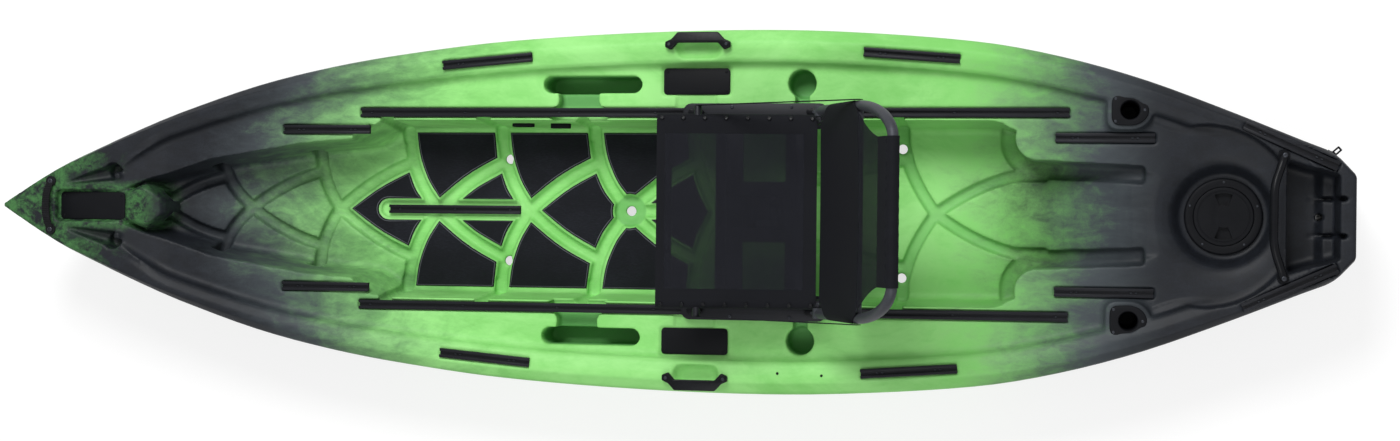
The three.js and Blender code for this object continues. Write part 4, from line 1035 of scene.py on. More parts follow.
@dataclass
class FloorPattern:
    """Grooves of the floor: pointed arches that meet on the centre line."""

    lines: HullLines = LINES
    depth: float = 0.017
    width: float = 0.03
    bulge: float = 0.013
    fork: float = 0.38
    ring_radius: float = 0.038
    rib: float = 0.105
    nose_place: Pair = (0.934, 0.181)
    nose_reach: float = 0.074
    valley_half: float = 0.02
    valley_depth: float = 0.02
    gates: tuple[Gate, ...] = (
        Gate(-0.691, 0.6, -0.65, -0.779, 0.5),
        Gate(-0.5485, 0.76, -0.521, -0.65, 0.45),
        Gate(-0.407, 1, -0.359, -0.521, 0.42),
        Gate(-0.256, 1, -0.2115, -0.359, 0.42),
        Gate(-0.108, 1, -0.0527, -0.2115, 0.42),
        Gate(0.0485, 1, 0.0836, -0.0527, 0.42),
        Gate(0.3655, 1, 0.4145, 0.0836, 0.52),
    )

    def gate_path(self, gate: Gate, sign: int) -> Path:
        """Groove from the wall to the centre line.

        Args:
            gate: The gate.
            sign: 1 to starboard or -1 to port.

        Returns:
            The path.
        """
        x = gate.wall * self.lines.half_length
        y = gate.reach * self.lines.floor_half * sign
        return bezier((x, y), (x, y * gate.bend), (gate.node * self.lines.half_length, 0))

    def arch_path(self, gate: Gate, sign: int) -> Path:
        """Groove from the centre line back to the fork in the next gate.

        Args:
            gate: The gate.
            sign: 1 to starboard or -1 to port.

        Returns:
            The path.
        """
        start = (gate.start * self.lines.half_length, 0.0)
        fork = self.gate_path(gate, sign)(self.fork)
        middle = ((start[0] + fork.x) / 2, fork.y / 2 + 2 * self.bulge * sign)
        return bezier(start, middle, (fork.x, fork.y))

    def tail_paths(self, sign: int) -> list[Path]:
        """Grooves that run up the ramp behind the cockpit.

        Args:
            sign: 1 to starboard or -1 to port.

        Returns:
            The paths.
        """
        half = self.lines.half_length
        side = 0.45 * self.lines.floor_half * sign
        bend = (0.533 * half, side)
        node = (self.gates[-1].node * half, 0.0)
        middle = ((node[0] + bend[0]) / 2, side / 2 + 2 * self.bulge * sign)
        return [bezier(node, middle, bend), straight(bend, (0.58 * half, side))]

    def valley(self, side: Side) -> list[Ring]:
        """Valley round the deck's rear nose, from the wall into the tail groove.

        Args:
            side: Side of the boat.

        Returns:
            The tool's rings.
        """
        x, y = self.nose_place
        turn = [Vector(p) for p in arc(x, y, self.nose_reach, 160, 268, 16)]
        end = Vector((0.718 * self.lines.half_length, 0.45 * self.lines.floor_half))
        line = [*turn, *[turn[-1].lerp(end, i / 8) for i in range(1, 9)]]

        def path(t: float) -> Vector:
            """Place along the valley.

            Args:
                t: Share of the way.

            Returns:
                The place.
            """
            place = min(max(t, 0.0), 0.9999) * (len(line) - 1)
            i = int(place)
            ahead = line[i + 1] if t < 0.9999 else end * 2 - line[-2]
            return line[i].lerp(ahead, place - i)

        half, deep = self.valley_half, self.valley_depth
        right = [(0.4 * half, -deep), (0.72 * half, -0.86 * deep), (0.94 * half, -0.5 * deep)]
        right += [(half * 1.06, 0.0), (half * 1.12, 0.22)]
        profile = [*[(-across, up) for across, up in reversed(right)], *right]
        return mirrored(swept(path, 30, profile, self.lines.floor_at, -0.004), side)

    def profile(self) -> Plan:
        """Rounded groove section, open above the floor.

        Returns:
            The section.
        """
        half, deep = self.width / 2, self.depth
        right = [(0.42 * half, -deep), (0.76 * half, -0.88 * deep), (0.95 * half, -0.5 * deep), (half, 0.0)]
        right.append((half * 1.1, OVER))
        return [*[(-y, z) for y, z in reversed(right)], *right]

    def grooves(self) -> list[list[Ring]]:
        """Every groove as a tool.

        Returns:
            The tools.
        """
        floor, profile = self.lines.floor_at, self.profile()
        ring = self.gates[4].node * self.lines.half_length
        tools = [swept(straight((ring, 0), (ring + self.rib, 0)), 2, profile, floor)]
        for side in Side:
            for gate in self.gates:
                tools.append(swept(self.gate_path(gate, side.value), 20, profile, floor, 0.01))
                tools.append(swept(self.arch_path(gate, side.value), 14, profile, floor, 0.03))
            for path in self.tail_paths(side.value):
                tools.append(swept(path, 12, profile, floor, 0.01))
            tools.append(self.valley(side))
        return tools

    def wall_grooves(self) -> list[list[Ring]]:
        """Grooves that run up the cockpit's walls from each gate.

        Returns:
            The tools.
        """
        tools = []
        for side in Side:
            for gate in (g for g in self.gates if g.reach == 1):
                x = gate.wall * self.lines.half_length
                low, high = self.lines.floor_at(x) - self.depth, self.lines.deck_at(x) + OVER
                rings = []
                for z, y in ((low, self.lines.floor_half_at(x)), (high, self.lines.top_half_at(x) + 0.004)):
                    rings.append(level(rounded(x - 0.016, x + 0.016, y - 0.04, y + 0.007, 0.009), z))
                tools.append(mirrored(rings, side))
        return tools


@dataclass(frozen=True)
class TrackPlace:
    """Where one slotted track lies: its middle, underside, turn and length."""

    name: str
    x: float
    y: float
    z: float
    degrees: float
    length: float

    def corners(self, margin: float) -> Plan:
        """Outline grown by a margin.

        Args:
            margin: The margin.

        Returns:
            The outline.
        """
        turn = Matrix.Rotation(math.radians(self.degrees), 2)
        half, side = self.length / 2 + margin, 0.011 + margin
        outline = rounded(-half, half, -side, side, 0.003, 2)
        return [(self.x + p.x, self.y + p.y) for p in (turn @ Vector(q) for q in outline)]

    def at(self, along: float, across: float = 0.0) -> Pair:
        """Place on the track, measured from its middle."""
        p = Matrix.Rotation(math.radians(self.degrees), 2) @ Vector((along, across))
        return self.x + p.x, self.y + p.y


def track_places() -> list[TrackPlace]:
    """Every track of the boat.

    Returns:
        Their places.
    """
    short = 0.2286
    places = [TrackPlace("floor_track", -0.5504, 0, 0.0983, 0, 0.351)]
    for side in Side:
        s = side.value
        places += [
            TrackPlace(f"bow_track_{side.word}", -0.827, 0.197 * s, 0.2868, 0, short),
            TrackPlace(f"gunwale_track_front_{side.word}", -0.4023, 0.3641 * s, 0.3144, 5 * s, short),
            TrackPlace(f"gunwale_track_rear_{side.word}", 0.639, 0.3734 * s, 0.3138, -4.4 * s, short),
            TrackPlace(f"rear_track_{side.word}", 1.0895, 0.181 * s, 0.2797, 0, short),
            TrackPlace(f"stern_track_{side.word}", 1.5056, 0.1628 * s, 0.3221, -24.5 * s, short),
            TrackPlace(f"rail_{side.word}", 0.134, 0.24 * s, 0.2788, 0, 1.748),
        ]
    return places


TRACKS = track_places()


@dataclass
class Hull:
    """The moulded hull, carved from its lines, then rounded as a moulding is."""

    lines: HullLines = LINES
    pattern: FloorPattern = field(default_factory=FloorPattern)
    voxel: float = 0.0042
    quick_voxel: float = 0.008
    rounding: int = 2
    most_faces: int = 185000
    hatch_x: float = 1.3629
    basin_front: Pair = (-0.84, -0.745)
    bar_x: float = 1.48995
    bar_y: float = 0.14
    handle_x: float = 0.126
    plate_x: float = -1.4223
    side_plate: Pair = (0.116, 0.3156)
    drain: tuple[float, float, float] = (1.5993, 0.1412, 0.272)
    scupper_cone: tuple[Pair, ...] = (
        (0.06, -0.02), (0.054, 0.02), (0.045, 0.06), (0.03, 0.082), (0.01, 0.084))
    scupper_hole: tuple[Pair, ...] = ((0.0122, 0.07), (0.0122, 0.2))
    stern_hole: float = 1.5807
    strap_foot: Pair = (-1.5246, 0.061)
    ring_seat: tuple[Pair, ...] = (
        (0.036, 0.0925), (0.0385, 0.094), (0.0395, 0.1), (0.0405, 0.113), (0.042, 0.17))
    bay: Pair = (-0.74736, -0.35344)
    bay_half: float = 0.0215
    pocket_ends: Pair = (-0.1625, -0.012)
    pocket_y: float = 0.3087
    pocket_half: float = 0.021
    cup_place: Pair = (0.3741, 0.3098)
    scoop_hole: Pair = (-1.366, 0.086)
    nub_place: Pair = (-1.353, 0.075)
    notch_y: float = 0.043
    finger_half: float = 0.054
    side_plate_half: Pair = (0.087, 0.037)
    bow_plate_half: Pair = (0.092, 0.039)
    ridge_ends: Pair = (1.185, 1.37)
    drain_angle: float = 42.0

    @property
    def ring_x(self) -> float:
        """Place of the floor's centre ring."""
        return self.pattern.gates[4].node * self.lines.half_length

    def skin(self) -> Piece:
        """Outer shape through sections from bow to stern.

        Returns:
            The closed shell.
        """
        shares = [-1, -0.993, -0.985, -0.975, -0.965, -0.953, -0.94, -0.92, -0.9, -0.875]
        shares += [lerp(-0.85, 0.96, i / 60) for i in range(61)]
        shares += [0.966, 0.972, 0.98, 0.99, 1]
        rings = []
        for share in shares:
            x = share * self.lines.half_length
            half, low, high = self.lines.half_beam_at(x), self.lines.keel_at(x), self.lines.sheer_at(x)
            right = [Vector((x, across * half, lerp(low, high, up))) for across, up in self.lines.section]
            rings.append(right + [Vector((p.x, -p.y, p.z)) for p in reversed(right[1:])])
        return loft("hull_shell", rings)

    def basin(self) -> list[Ring]:
        """Side decks between the gunwales, with the sloped inner band of the gunwale.

        Returns:
            The tool's rings.
        """
        rings = []
        shares = [lerp(-0.845, -0.73, i / 10) for i in range(11)]
        shares += [*[lerp(-0.71, 0.9, i / 40) for i in range(41)], 0.92, 0.94]
        first, full = self.basin_front
        for share in shares:
            x = share * self.lines.half_length
            run_in = min(max((share - first) / (full - first), 0), 1)
            run_in *= run_in * (3 - 2 * run_in)
            inner, sheer = self.lines.inner_at(x) * lerp(0.8, 1, run_in), self.lines.sheer_at(x)
            deck = sheer - 0.001 - (self.lines.deck_drop - 0.001) * run_in
            band = self.lines.gunwale_at(x) * 0.38
            r = min(0.02, inner * 0.4)
            right = arc(inner - self.lines.lean - r, deck + r, r, -90, 0, 4)
            right += [(inner, sheer - 0.0075 * run_in), (inner + band, sheer + 0.0005)]
            right.append((inner + band, sheer + OVER))
            points = [*[(-y, z) for y, z in reversed(right)], *right]
            rings.append([Vector((x, y, z)) for y, z in points])
        return rings

    def trough(self) -> list[Ring]:
        """Cockpit, bow floor and rear ramp.

        Returns:
            The tool's rings.
        """
        shares = {row[0] for row in self.lines.troughs} | {lerp(-0.82, 0.72, i / 30) for i in range(31)}
        rings = []
        for share in sorted(shares):
            x = share * self.lines.half_length
            low, high = self.lines.floor_half_at(x), self.lines.top_half_at(x)
            rings.append(section(x, low, high, self.lines.floor_at(x), self.lines.sheer_at(x) + OVER, 0.018))
        return rings

    def lathe(self, x: float, y: float, profile: Sequence[Pair], steps: int = 48) -> list[Ring]:
        """Rings of a turned tool about an upright axis."""
        return [level(circle(x, y, radius, steps), z) for radius, z in profile]

    def bowl(self) -> list[Ring]:
        """Soft bowl round the hatch.

        Returns:
            The tool's rings.
        """
        deck = self.lines.deck_at(self.hatch_x)
        shape = ((0.098, 0.232, 0.0), (0.101, 0.2335, 0.0), (0.105, 0.24, 0.001), (0.109, 0.25, 0.002),
                 (0.114, 0.262, 0.004), (0.12, 0.272, 0.008), (0.13, 0.279, 0.014), (0.145, 0.2835, 0.021),
                 (0.165, 0.2868, 0.03), (0.19, deck - 0.0015, 0.04), (0.21, deck + 0.003, 0.046),
                 (0.213, deck + OVER, 0.046))
        return [level(circle(self.hatch_x - shift, 0, radius, 56), z) for radius, z, shift in shape]

    def tail_well(self) -> list[list[Ring]]:
        """Tail well with its step and the two notches in the step.

        Returns:
            The tools.
        """
        high = self.lines.sheer_at(1.65) + OVER
        half = self.lines.half_length
        shape = ((0.91, 0.205, 0.128), (0.94, 0.205, 0.112), (0.952, 0.207, 0.108), (0.962, 0.228, 0.104),
                 (0.978, 0.232, 0.096))
        tools = [[section(share * half, wide, wide + 0.004, z, high, 0.02) for share, z, wide in shape]]
        places = ((1.555, 0.2), (1.61, 0.212), (1.632, 0.27))
        for side in Side:
            y = self.notch_y * side.value
            tools.append([section(x, 0.005, 0.007, z, high, 0.004, y) for x, z in places])
        return tools

    def pocket(self, side: Side) -> list[list[Ring]]:
        """Side pocket and its throat under the rail.

        Args:
            side: Side of the boat.

        Returns:
            The tools.
        """
        half = self.lines.half_length
        x0, x1 = (share * half for share in self.pocket_ends)
        y, r, deck = self.pocket_y, self.pocket_half, self.lines.deck_at(-0.144)
        gate = self.pattern.gates[4].wall * half
        main = [level(rounded(x0, x1, y - r, y + r, r), z) for z in (deck - 0.11, deck + OVER)]
        right = [(0.0635, y), (0.0525, 0.29), (0.0495, 0.27), (0.054, 0.2575), (0.066, 0.248)]
        right += [(0.072, 0.244), (0.072, 0.2225)]
        throat = [(gate - across, along) for across, along in right]
        throat += [(gate + across, along) for across, along in reversed(right)]
        channel = [level(throat, z) for z in (deck - 0.046, deck + OVER)]
        return [mirrored(main, side), mirrored(channel, side)]

    def cup(self, side: Side) -> list[list[Ring]]:
        """Cup holder with a flared neck into the cockpit.

        Args:
            side: Side of the boat.

        Returns:
            The tools.
        """
        (x, y), deck = self.cup_place, self.lines.deck_at(0.374)
        bowl = ((0.028, -0.075), (0.032, -0.072), (0.034, -0.066), (0.034, -0.002), (0.038, 0.004),
                (0.04, OVER))
        well = self.lathe(x, y, [(radius, deck + rise) for radius, rise in bowl])
        mouth = [(x - 0.017, y), (x - 0.017, 0.262), (x - 0.046, 0.2225)]
        mouth += [(x + 0.046, 0.2225), (x + 0.017, 0.262), (x + 0.017, y)]
        neck = [level(mouth, z) for z in (deck - 0.04, deck + OVER)]
        return [mirrored(well, side), mirrored(neck, side)]

    def scoop(self, side: Side) -> list[list[Ring]]:
        """Tapering scoop in the bow deck that ends in a round hole.

        Args:
            side: Side of the boat.

        Returns:
            The tools.
        """
        rings = []
        shape = ((-1.49, 0.056, 0.004, 0.003), (-1.45, 0.065, 0.012, 0.015), (-1.41, 0.075, 0.019, 0.026),
                 (-1.378, 0.082, 0.0235, 0.034), (-1.352, 0.084, 0.0235, 0.04))
        for x, y, half, deep in shape:
            high = self.lines.sheer_at(x)
            rings.append(section(x, half * 0.7, half * 1.1, high - deep, high + OVER, half * 0.5, y))
        levels = ((0.02, 0.325), (0.0215, 0.35), (0.0235, 0.375), (0.026, 0.45))
        hole = [level(circle(*self.scoop_hole, r), z) for r, z in levels]
        return [mirrored(rings, side), mirrored(hole, side)]

    def nub(self, side: Side) -> list[Ring]:
        """Nub that stands in the scoop's hole.

        Args:
            side: Side of the boat.

        Returns:
            Its rings.
        """
        levels = ((0.012, 0.31), (0.0105, 0.366), (0.007, 0.374))
        return mirrored([level(circle(*self.nub_place, r, 20), z) for r, z in levels], side)

    def nose(self) -> list[Ring]:
        """Raised nose between the bow plate and the bow floor.

        Returns:
            Its rings.
        """
        rings = []
        low = 0.25
        shape = ((-1.352, 0.036, 0.3663), (-1.323, 0.04, 0.366), (-1.296, 0.053, 0.3645),
                 (-1.283, 0.055, 0.3635), (-1.263, 0.04, 0.359), (-1.246, 0.024, 0.352),
                 (-1.238, 0.017, 0.335))
        for x, half, high in shape:
            right = [(half, low), (half, high - 0.012), (half * 0.8, high)]
            outline = [*right, *[(-y, z) for y, z in reversed(right)]]
            rings.append([Vector((x, y, z)) for y, z in outline])
        return rings

    def handle_scoop(self, side: Side) -> list[Ring]:
        """Finger scoop inboard of the carry handle.

        Args:
            side: Side of the boat.

        Returns:
            The tool's rings.
        """
        outer = self.lines.half_beam_at(self.handle_x) - 0.0245
        sheer = self.lines.sheer_at(self.handle_x)
        rings = []
        levels = ((-0.014, -0.024), (-0.005, -0.019), (0.0, -0.008), (0.004, 0.001), (0.008, OVER))
        for grow, rise in levels:
            half = self.finger_half + grow
            outline = rounded(self.handle_x - half, self.handle_x + half, outer - 0.046 - grow,
                              outer + grow * 0.4, 0.02)
            rings.append(level(outline, sheer + rise))
        return mirrored(rings, side)

    def plate_recesses(self, side: Side) -> list[list[Ring]]:
        """Recess of a side plate and the finger notch towards the rail.

        Args:
            side: Side of the boat.

        Returns:
            The tools.
        """
        x, y = self.side_plate
        deck = self.lines.deck_at(x)
        heights = (deck - 0.006, deck + OVER)
        long, wide = self.side_plate_half
        recess = [level(rounded(x - long, x + long, y - wide, y + wide, 0.01), z) for z in heights]
        notch = [level(rounded(x - 0.051, x + 0.051, 0.24, y - 0.03, 0.006), z) for z in heights]
        return [mirrored(recess, side), mirrored(notch, side)]

    def bow_recess(self) -> list[Ring]:
        """Recess of the bow plate."""
        long, wide = self.bow_plate_half
        outline = rounded(self.plate_x - long, self.plate_x + long, -wide, wide, 0.011)
        return [level(outline, z) for z in (0.36, 0.43)]

    def rod_pad(self, side: Side) -> list[Ring]:
        """Raised pad under a rod holder, its skirt spreading on the deck.

        Args:
            side: Side of the boat.

        Returns:
            Its rings.
        """
        deck = self.lines.deck_at(ROD_X)
        levels = ((0.022, deck - 0.02), (0.022, deck), (0.014, deck + 0.006), (0.0105, 0.307), (0.009, 0.312))
        return [level(rod_outline(side, margin), z) for margin, z in levels]

    def ridge(self, side: Side) -> list[Ring]:
        """Curved ridge that runs aft from a rod pad.

        Args:
            side: Side of the boat.

        Returns:
            Its rings.
        """
        start, end = self.ridge_ends
        path = bezier((start, 0.24 * side.value), (1.25, 0.196 * side.value), (end, 0.192 * side.value))
        profile = [(-0.026, -0.02), (-0.01, 0.005), (0.0, 0.009), (0.01, 0.005), (0.026, -0.02)]
        return swept(path, 14, profile,
                     lambda x: self.lines.deck_at(x) - 0.012 * ((x - start) / (end - start)) ** 2)

    def drain_tool(self, radius: float, start: float, end: float) -> list[Ring]:
        """Round tool along the drain's slanted axis.

        Args:
            radius: Its radius.
            start: Start on the axis.
            end: End on the axis.

        Returns:
            The tool's rings.
        """
        angle = math.radians(self.drain_angle)
        out = Vector((math.cos(angle), math.sin(angle), 0))
        across = Vector((-out.y, out.x, 0))
        rings = []
        for along in (start, end):
            middle = Vector(self.drain) + out * along
            rings.append([middle + across * y + Vector((0, 0, z)) for y, z in circle(0, 0, radius, 32)])
        return rings

    def drain_seat(self) -> list[Ring]:
        """Round block that carries the drain fitting."""
        return self.drain_tool(0.0205, -0.03, 0.0005)

    def upright(self, x: float, y: float, radius: float, low: float, high: float) -> list[Ring]:
        """Round upright tool."""
        return self.lathe(x, y, [(radius, low), (radius, high)])

    def carve(self) -> Piece:
        """Cuts every deck feature into the shell.

        Returns:
            The carved hull, still sharp.
        """
        carver = Carver(self.skin())
        carver.cut([self.basin(), self.trough(), self.bowl(), *self.tail_well()])
        pads = [self.rod_pad(side) for side in Side]
        carver.join([self.nose(), *pads, *[self.ridge(side) for side in Side], self.drain_seat()])
        carver.cut([*self.pattern.grooves(), *self.pattern.wall_grooves(), self.bow_recess()])
        outline = rounded(*self.bay, -self.bay_half, self.bay_half, self.bay_half, 8)
        carver.cut([self.lathe(self.ring_x, 0, self.ring_seat), [level(outline, z) for z in (0.098, 0.17)]])
        for side in Side:
            s = side.value
            carver.cut([*self.pocket(side), *self.cup(side), *self.scoop(side), self.handle_scoop(side),
                        *self.plate_recesses(side)])
            seats = ((self.bar_x, self.bar_y, 0.015, 0.4), (*self.strap_foot, 0.0185, 0.5))
            for x, y, radius, high in seats:
                carver.cut([self.upright(x, y * s, radius, self.lines.sheer_at(x) - 0.0015, high)])
            carver.join([self.nub(side)])
            carver.cut([self.upright(ROD_X, ROD_Y * s, 0.026, 0.1, 0.36)])
        carver.cut([[level(track.corners(0.0025), z) for z in (track.z - 0.0003, track.z + 0.06)]
                    for track in TRACKS])
        carver.cut([
            self.upright(self.stern_hole, 0, 0.009, -0.05, 0.3),
            self.upright(self.hatch_x, 0, 0.072, 0.07, 0.25), self.drain_tool(0.0153, 0.0, 0.03),
        ])
        for profile in (self.scupper_cone, self.scupper_hole):
            carver.cut([self.lathe(x, y, profile) for x, y in self.scuppers()])
        return carver.finished()

    def scuppers(self) -> list[Pair]:
        """Places of the drain holes in the cockpit's floor.

        Returns:
            X and Y of each.
        """
        places = [(self.ring_x, 0.0)]
        for share, across in ((-0.246, 0.62), (0.364, 0.76)):
            x, y = share * self.lines.half_length, across * self.lines.floor_half
            places += [(x, y * side.value) for side in Side]
        return places

    def build(self, finishes: Finishes) -> None:
        """Builds the hull and dresses it.

        Args:
            finishes: The boat's finishes.
        """
        hull = self.carve()
        LOG.info("hull carved: %d faces", len(hull.data.polygons))
        if not len(hull.data.polygons):
            raise RuntimeError("the hull's cuts left nothing")
        voxel = self.voxel
        modifier(hull, "REMESH", mode="VOXEL", voxel_size=voxel, use_smooth_shade=True)
        modifier(hull, "SMOOTH", factor=0.5, iterations=self.rounding)
        evaluated(hull)
        triangles = 2 * len(hull.data.polygons)
        LOG.info("hull rounded: %d triangles", triangles)
        if triangles > self.most_faces:
            modifier(hull, "DECIMATE", ratio=self.most_faces / triangles)
            evaluated(hull)
        smooth_shaded(hull)
        dress(hull, finishes.hull, "moulded_hull", "boat", "hull")


@dataclass(frozen=True)
class Bolt:
    """Rounded bolt or screw head with a hexagon socket."""

    radius: float = 0.0042
    height: float = 0.0022
    sides: int = 12

    def add(self, work: Work, place: Vector, normal: Vector) -> None:
        """Adds one head to a bmesh.

        Args:
            work: The bmesh.
            place: Where the head stands.
            normal: Direction that it faces.
        """
        turn = normal.to_track_quat("Z", "Y").to_matrix()
        rings = []
        for wide, up in ((1.0, -0.2), (1.0, 0.5), (0.8, 0.88), (0.52, 1.0), (0.44, 0.95), (0.4, 0.35)):
            outline = circle(0, 0, wide * self.radius, self.sides)
            rings.append([place + turn @ Vector((x, y, up * self.height)) for x, y in outline])
        add_loft(work, rings)


UP = Vector((0, 0, 1))
Places = Iterable[tuple[Vector, Vector]]


def with_bolts(piece: Piece, material: Finish, places: Places,
               steel: Finish, bolt: Bolt = Bolt()) -> Piece:
    """Joins bolt heads to a piece.

    Args:
        piece: The piece, which is replaced.
        material: Its own finish.
        places: Place and direction of each head.
        steel: Finish of the heads.
        bolt: Shape of the heads.

    Returns:
        The joined piece.
    """
    if not piece.data.materials:
        piece.data.materials.append(material)
    work = bmesh.new()
    for place, normal in places:
        bolt.add(work, place, normal)
    heads = smooth_shaded(object_from("heads", work), 50)
    heads.data.materials.append(steel)
    return joined(piece.name, [piece, heads])


def solid_copy(*nodes: str) -> Work:
    """Merged copy of CAD solids, in the boat's frame.

    Args:
        *nodes: The solids' nodes.

    Returns:
        A bmesh with its flat faces whole.
    """
    work = bmesh.new()
    for node in nodes:
        source = frame["nodes"][node]
        start = len(work.verts)
        work.from_mesh(source.data)
        work.verts.ensure_lookup_table()
        bmesh.ops.transform(work, matrix=source.matrix_world, verts=work.verts[start:])
    bmesh.ops.remove_doubles(work, verts=work.verts, dist=1e-5)
    bmesh.ops.dissolve_limit(work, angle_limit=math.radians(1.5), verts=work.verts, edges=work.edges)
    return work


def rounded_copy(node: str, width: float, segments: int = 2, angle: float = 30.0) -> Piece:
    """Copy of a CAD solid with its edges rounded.

    Args:
        node: The solid's node.
        width: Width of the rounded edges.
        segments: Steps across them.
        angle: Edges over this angle in degrees are rounded.

    Returns:
        The piece, shaded smooth.
    """
    work = solid_copy(node)
    edges = [e for e in work.edges if e.is_manifold and e.calc_face_angle() > math.radians(angle)]
    bmesh.ops.bevel(work, geom=edges, offset=width, offset_type="OFFSET", affect="EDGES", segments=segments,
                    profile=0.5, material=-1, clamp_overlap=True)
    return smooth_shaded(object_from(f"{node}_rounded", work), angle)


def top_of(node: str, x: float, y: float) -> Vector:
    """Highest point of a CAD solid over one place.

    Args:
        node: The solid's node.
        x: X of the place.
        y: Y of the place.

    Returns:
        The point.
    """
    source = frame["nodes"][node]
    inverse = source.matrix_world.inverted()
    found, place, _, _ = source.ray_cast(inverse @ Vector((x, y, 2)), inverse.to_3x3() @ -UP)
    if not found:
        raise ValueError(f"{node} has nothing at {x}, {y}")
    return source.matrix_world @ place


def tube(name: str, points: Sequence[Vector], radius: float, sides: int = 24, looped: bool = False) -> Piece:
    """Round tube along points in space.

    Args:
        name: Name of the piece.
        points: Points of its centre line.
        radius: Radius of the tube.
        sides: Sides of its section.
        looped: Joins the end to the start.

    Returns:
        The piece, shaded smooth.
    """
    rings = []
    last = len(points) - 1
    normal = UP.cross(points[1] - points[0])
    for i, point in enumerate(points):
        before = points[i - 1] if i or looped else point
        after = points[(i + 1) % len(points)] if i < last or looped else point
        along = (after - before).normalized()
        normal = (normal - along * normal.dot(along)).normalized()
        across = along.cross(normal)
        rings.append([point + normal * x + across * y for x, y in circle(0, 0, radius, sides)])
    work = bmesh.new()
    add_loft(work, rings, looped=looped)
    return smooth_shaded(object_from(name, work), 50)


def eased(points: Sequence[Vector], radius: float, steps: int = 8) -> list[Vector]:
    """Polyline with its inner corners rounded off.

    Args:
        points: Corner points.
        radius: Distance from each corner at which the bend starts.
        steps: Points in each bend.

    Returns:
        The points of the smooth line.
    """
    line = [points[0]]
    for before, corner, after in zip(points, points[1:], points[2:]):
        start = corner + (before - corner).normalized() * min(radius, (before - corner).length * 0.49)
        end = corner + (after - corner).normalized() * min(radius, (after - corner).length * 0.49)
        for i in range(steps + 1):
            t = i / steps
            line.append(start * (1 - t) ** 2 + corner * (2 * t * (1 - t)) + end * t**2)
    line.append(points[-1])
    return line


def spun(name: str, x: float, y: float, profile: Plan, steps: int = 64, looped: bool = False) -> Piece:
    """Turned piece about an upright axis.

    Args:
        name: Name of the piece.
        x: Place of the axis.
        y: Place of the axis.
        profile: Radius and height of each ring.
        steps: Sides of the rings.
        looped: Joins the last ring to the first, as in a hollow ring.

    Returns:
        The piece, shaded smooth.
    """
    work = bmesh.new()
    add_loft(work, [level(circle(x, y, radius, steps), z) for radius, z in profile], looped=looped)
    return smooth_shaded(object_from(name, work), 35)


def dress(piece: Piece, material: Finish | None, slot: str, body: str, *nodes: str) -> None:
    """Gives a new piece its finish, its body and the nodes that it stands for.

    Args:
        piece: The new piece.
        material: Its finish, or None where it already has its own.
        slot: The record's material slot; not used.
        body: The body that it moves with.
        *nodes: CAD nodes that it replaces.
    """
    if material is not None:
        piece.data.materials.clear()
        piece.data.materials.append(material)
    if nodes:
        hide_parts(*nodes)
    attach(piece, body)
    triangles = sum(len(p.vertices) - 2 for p in piece.data.polygons)
    LOG.info("%s rides on %s, %d triangles", piece.name, body, triangles)


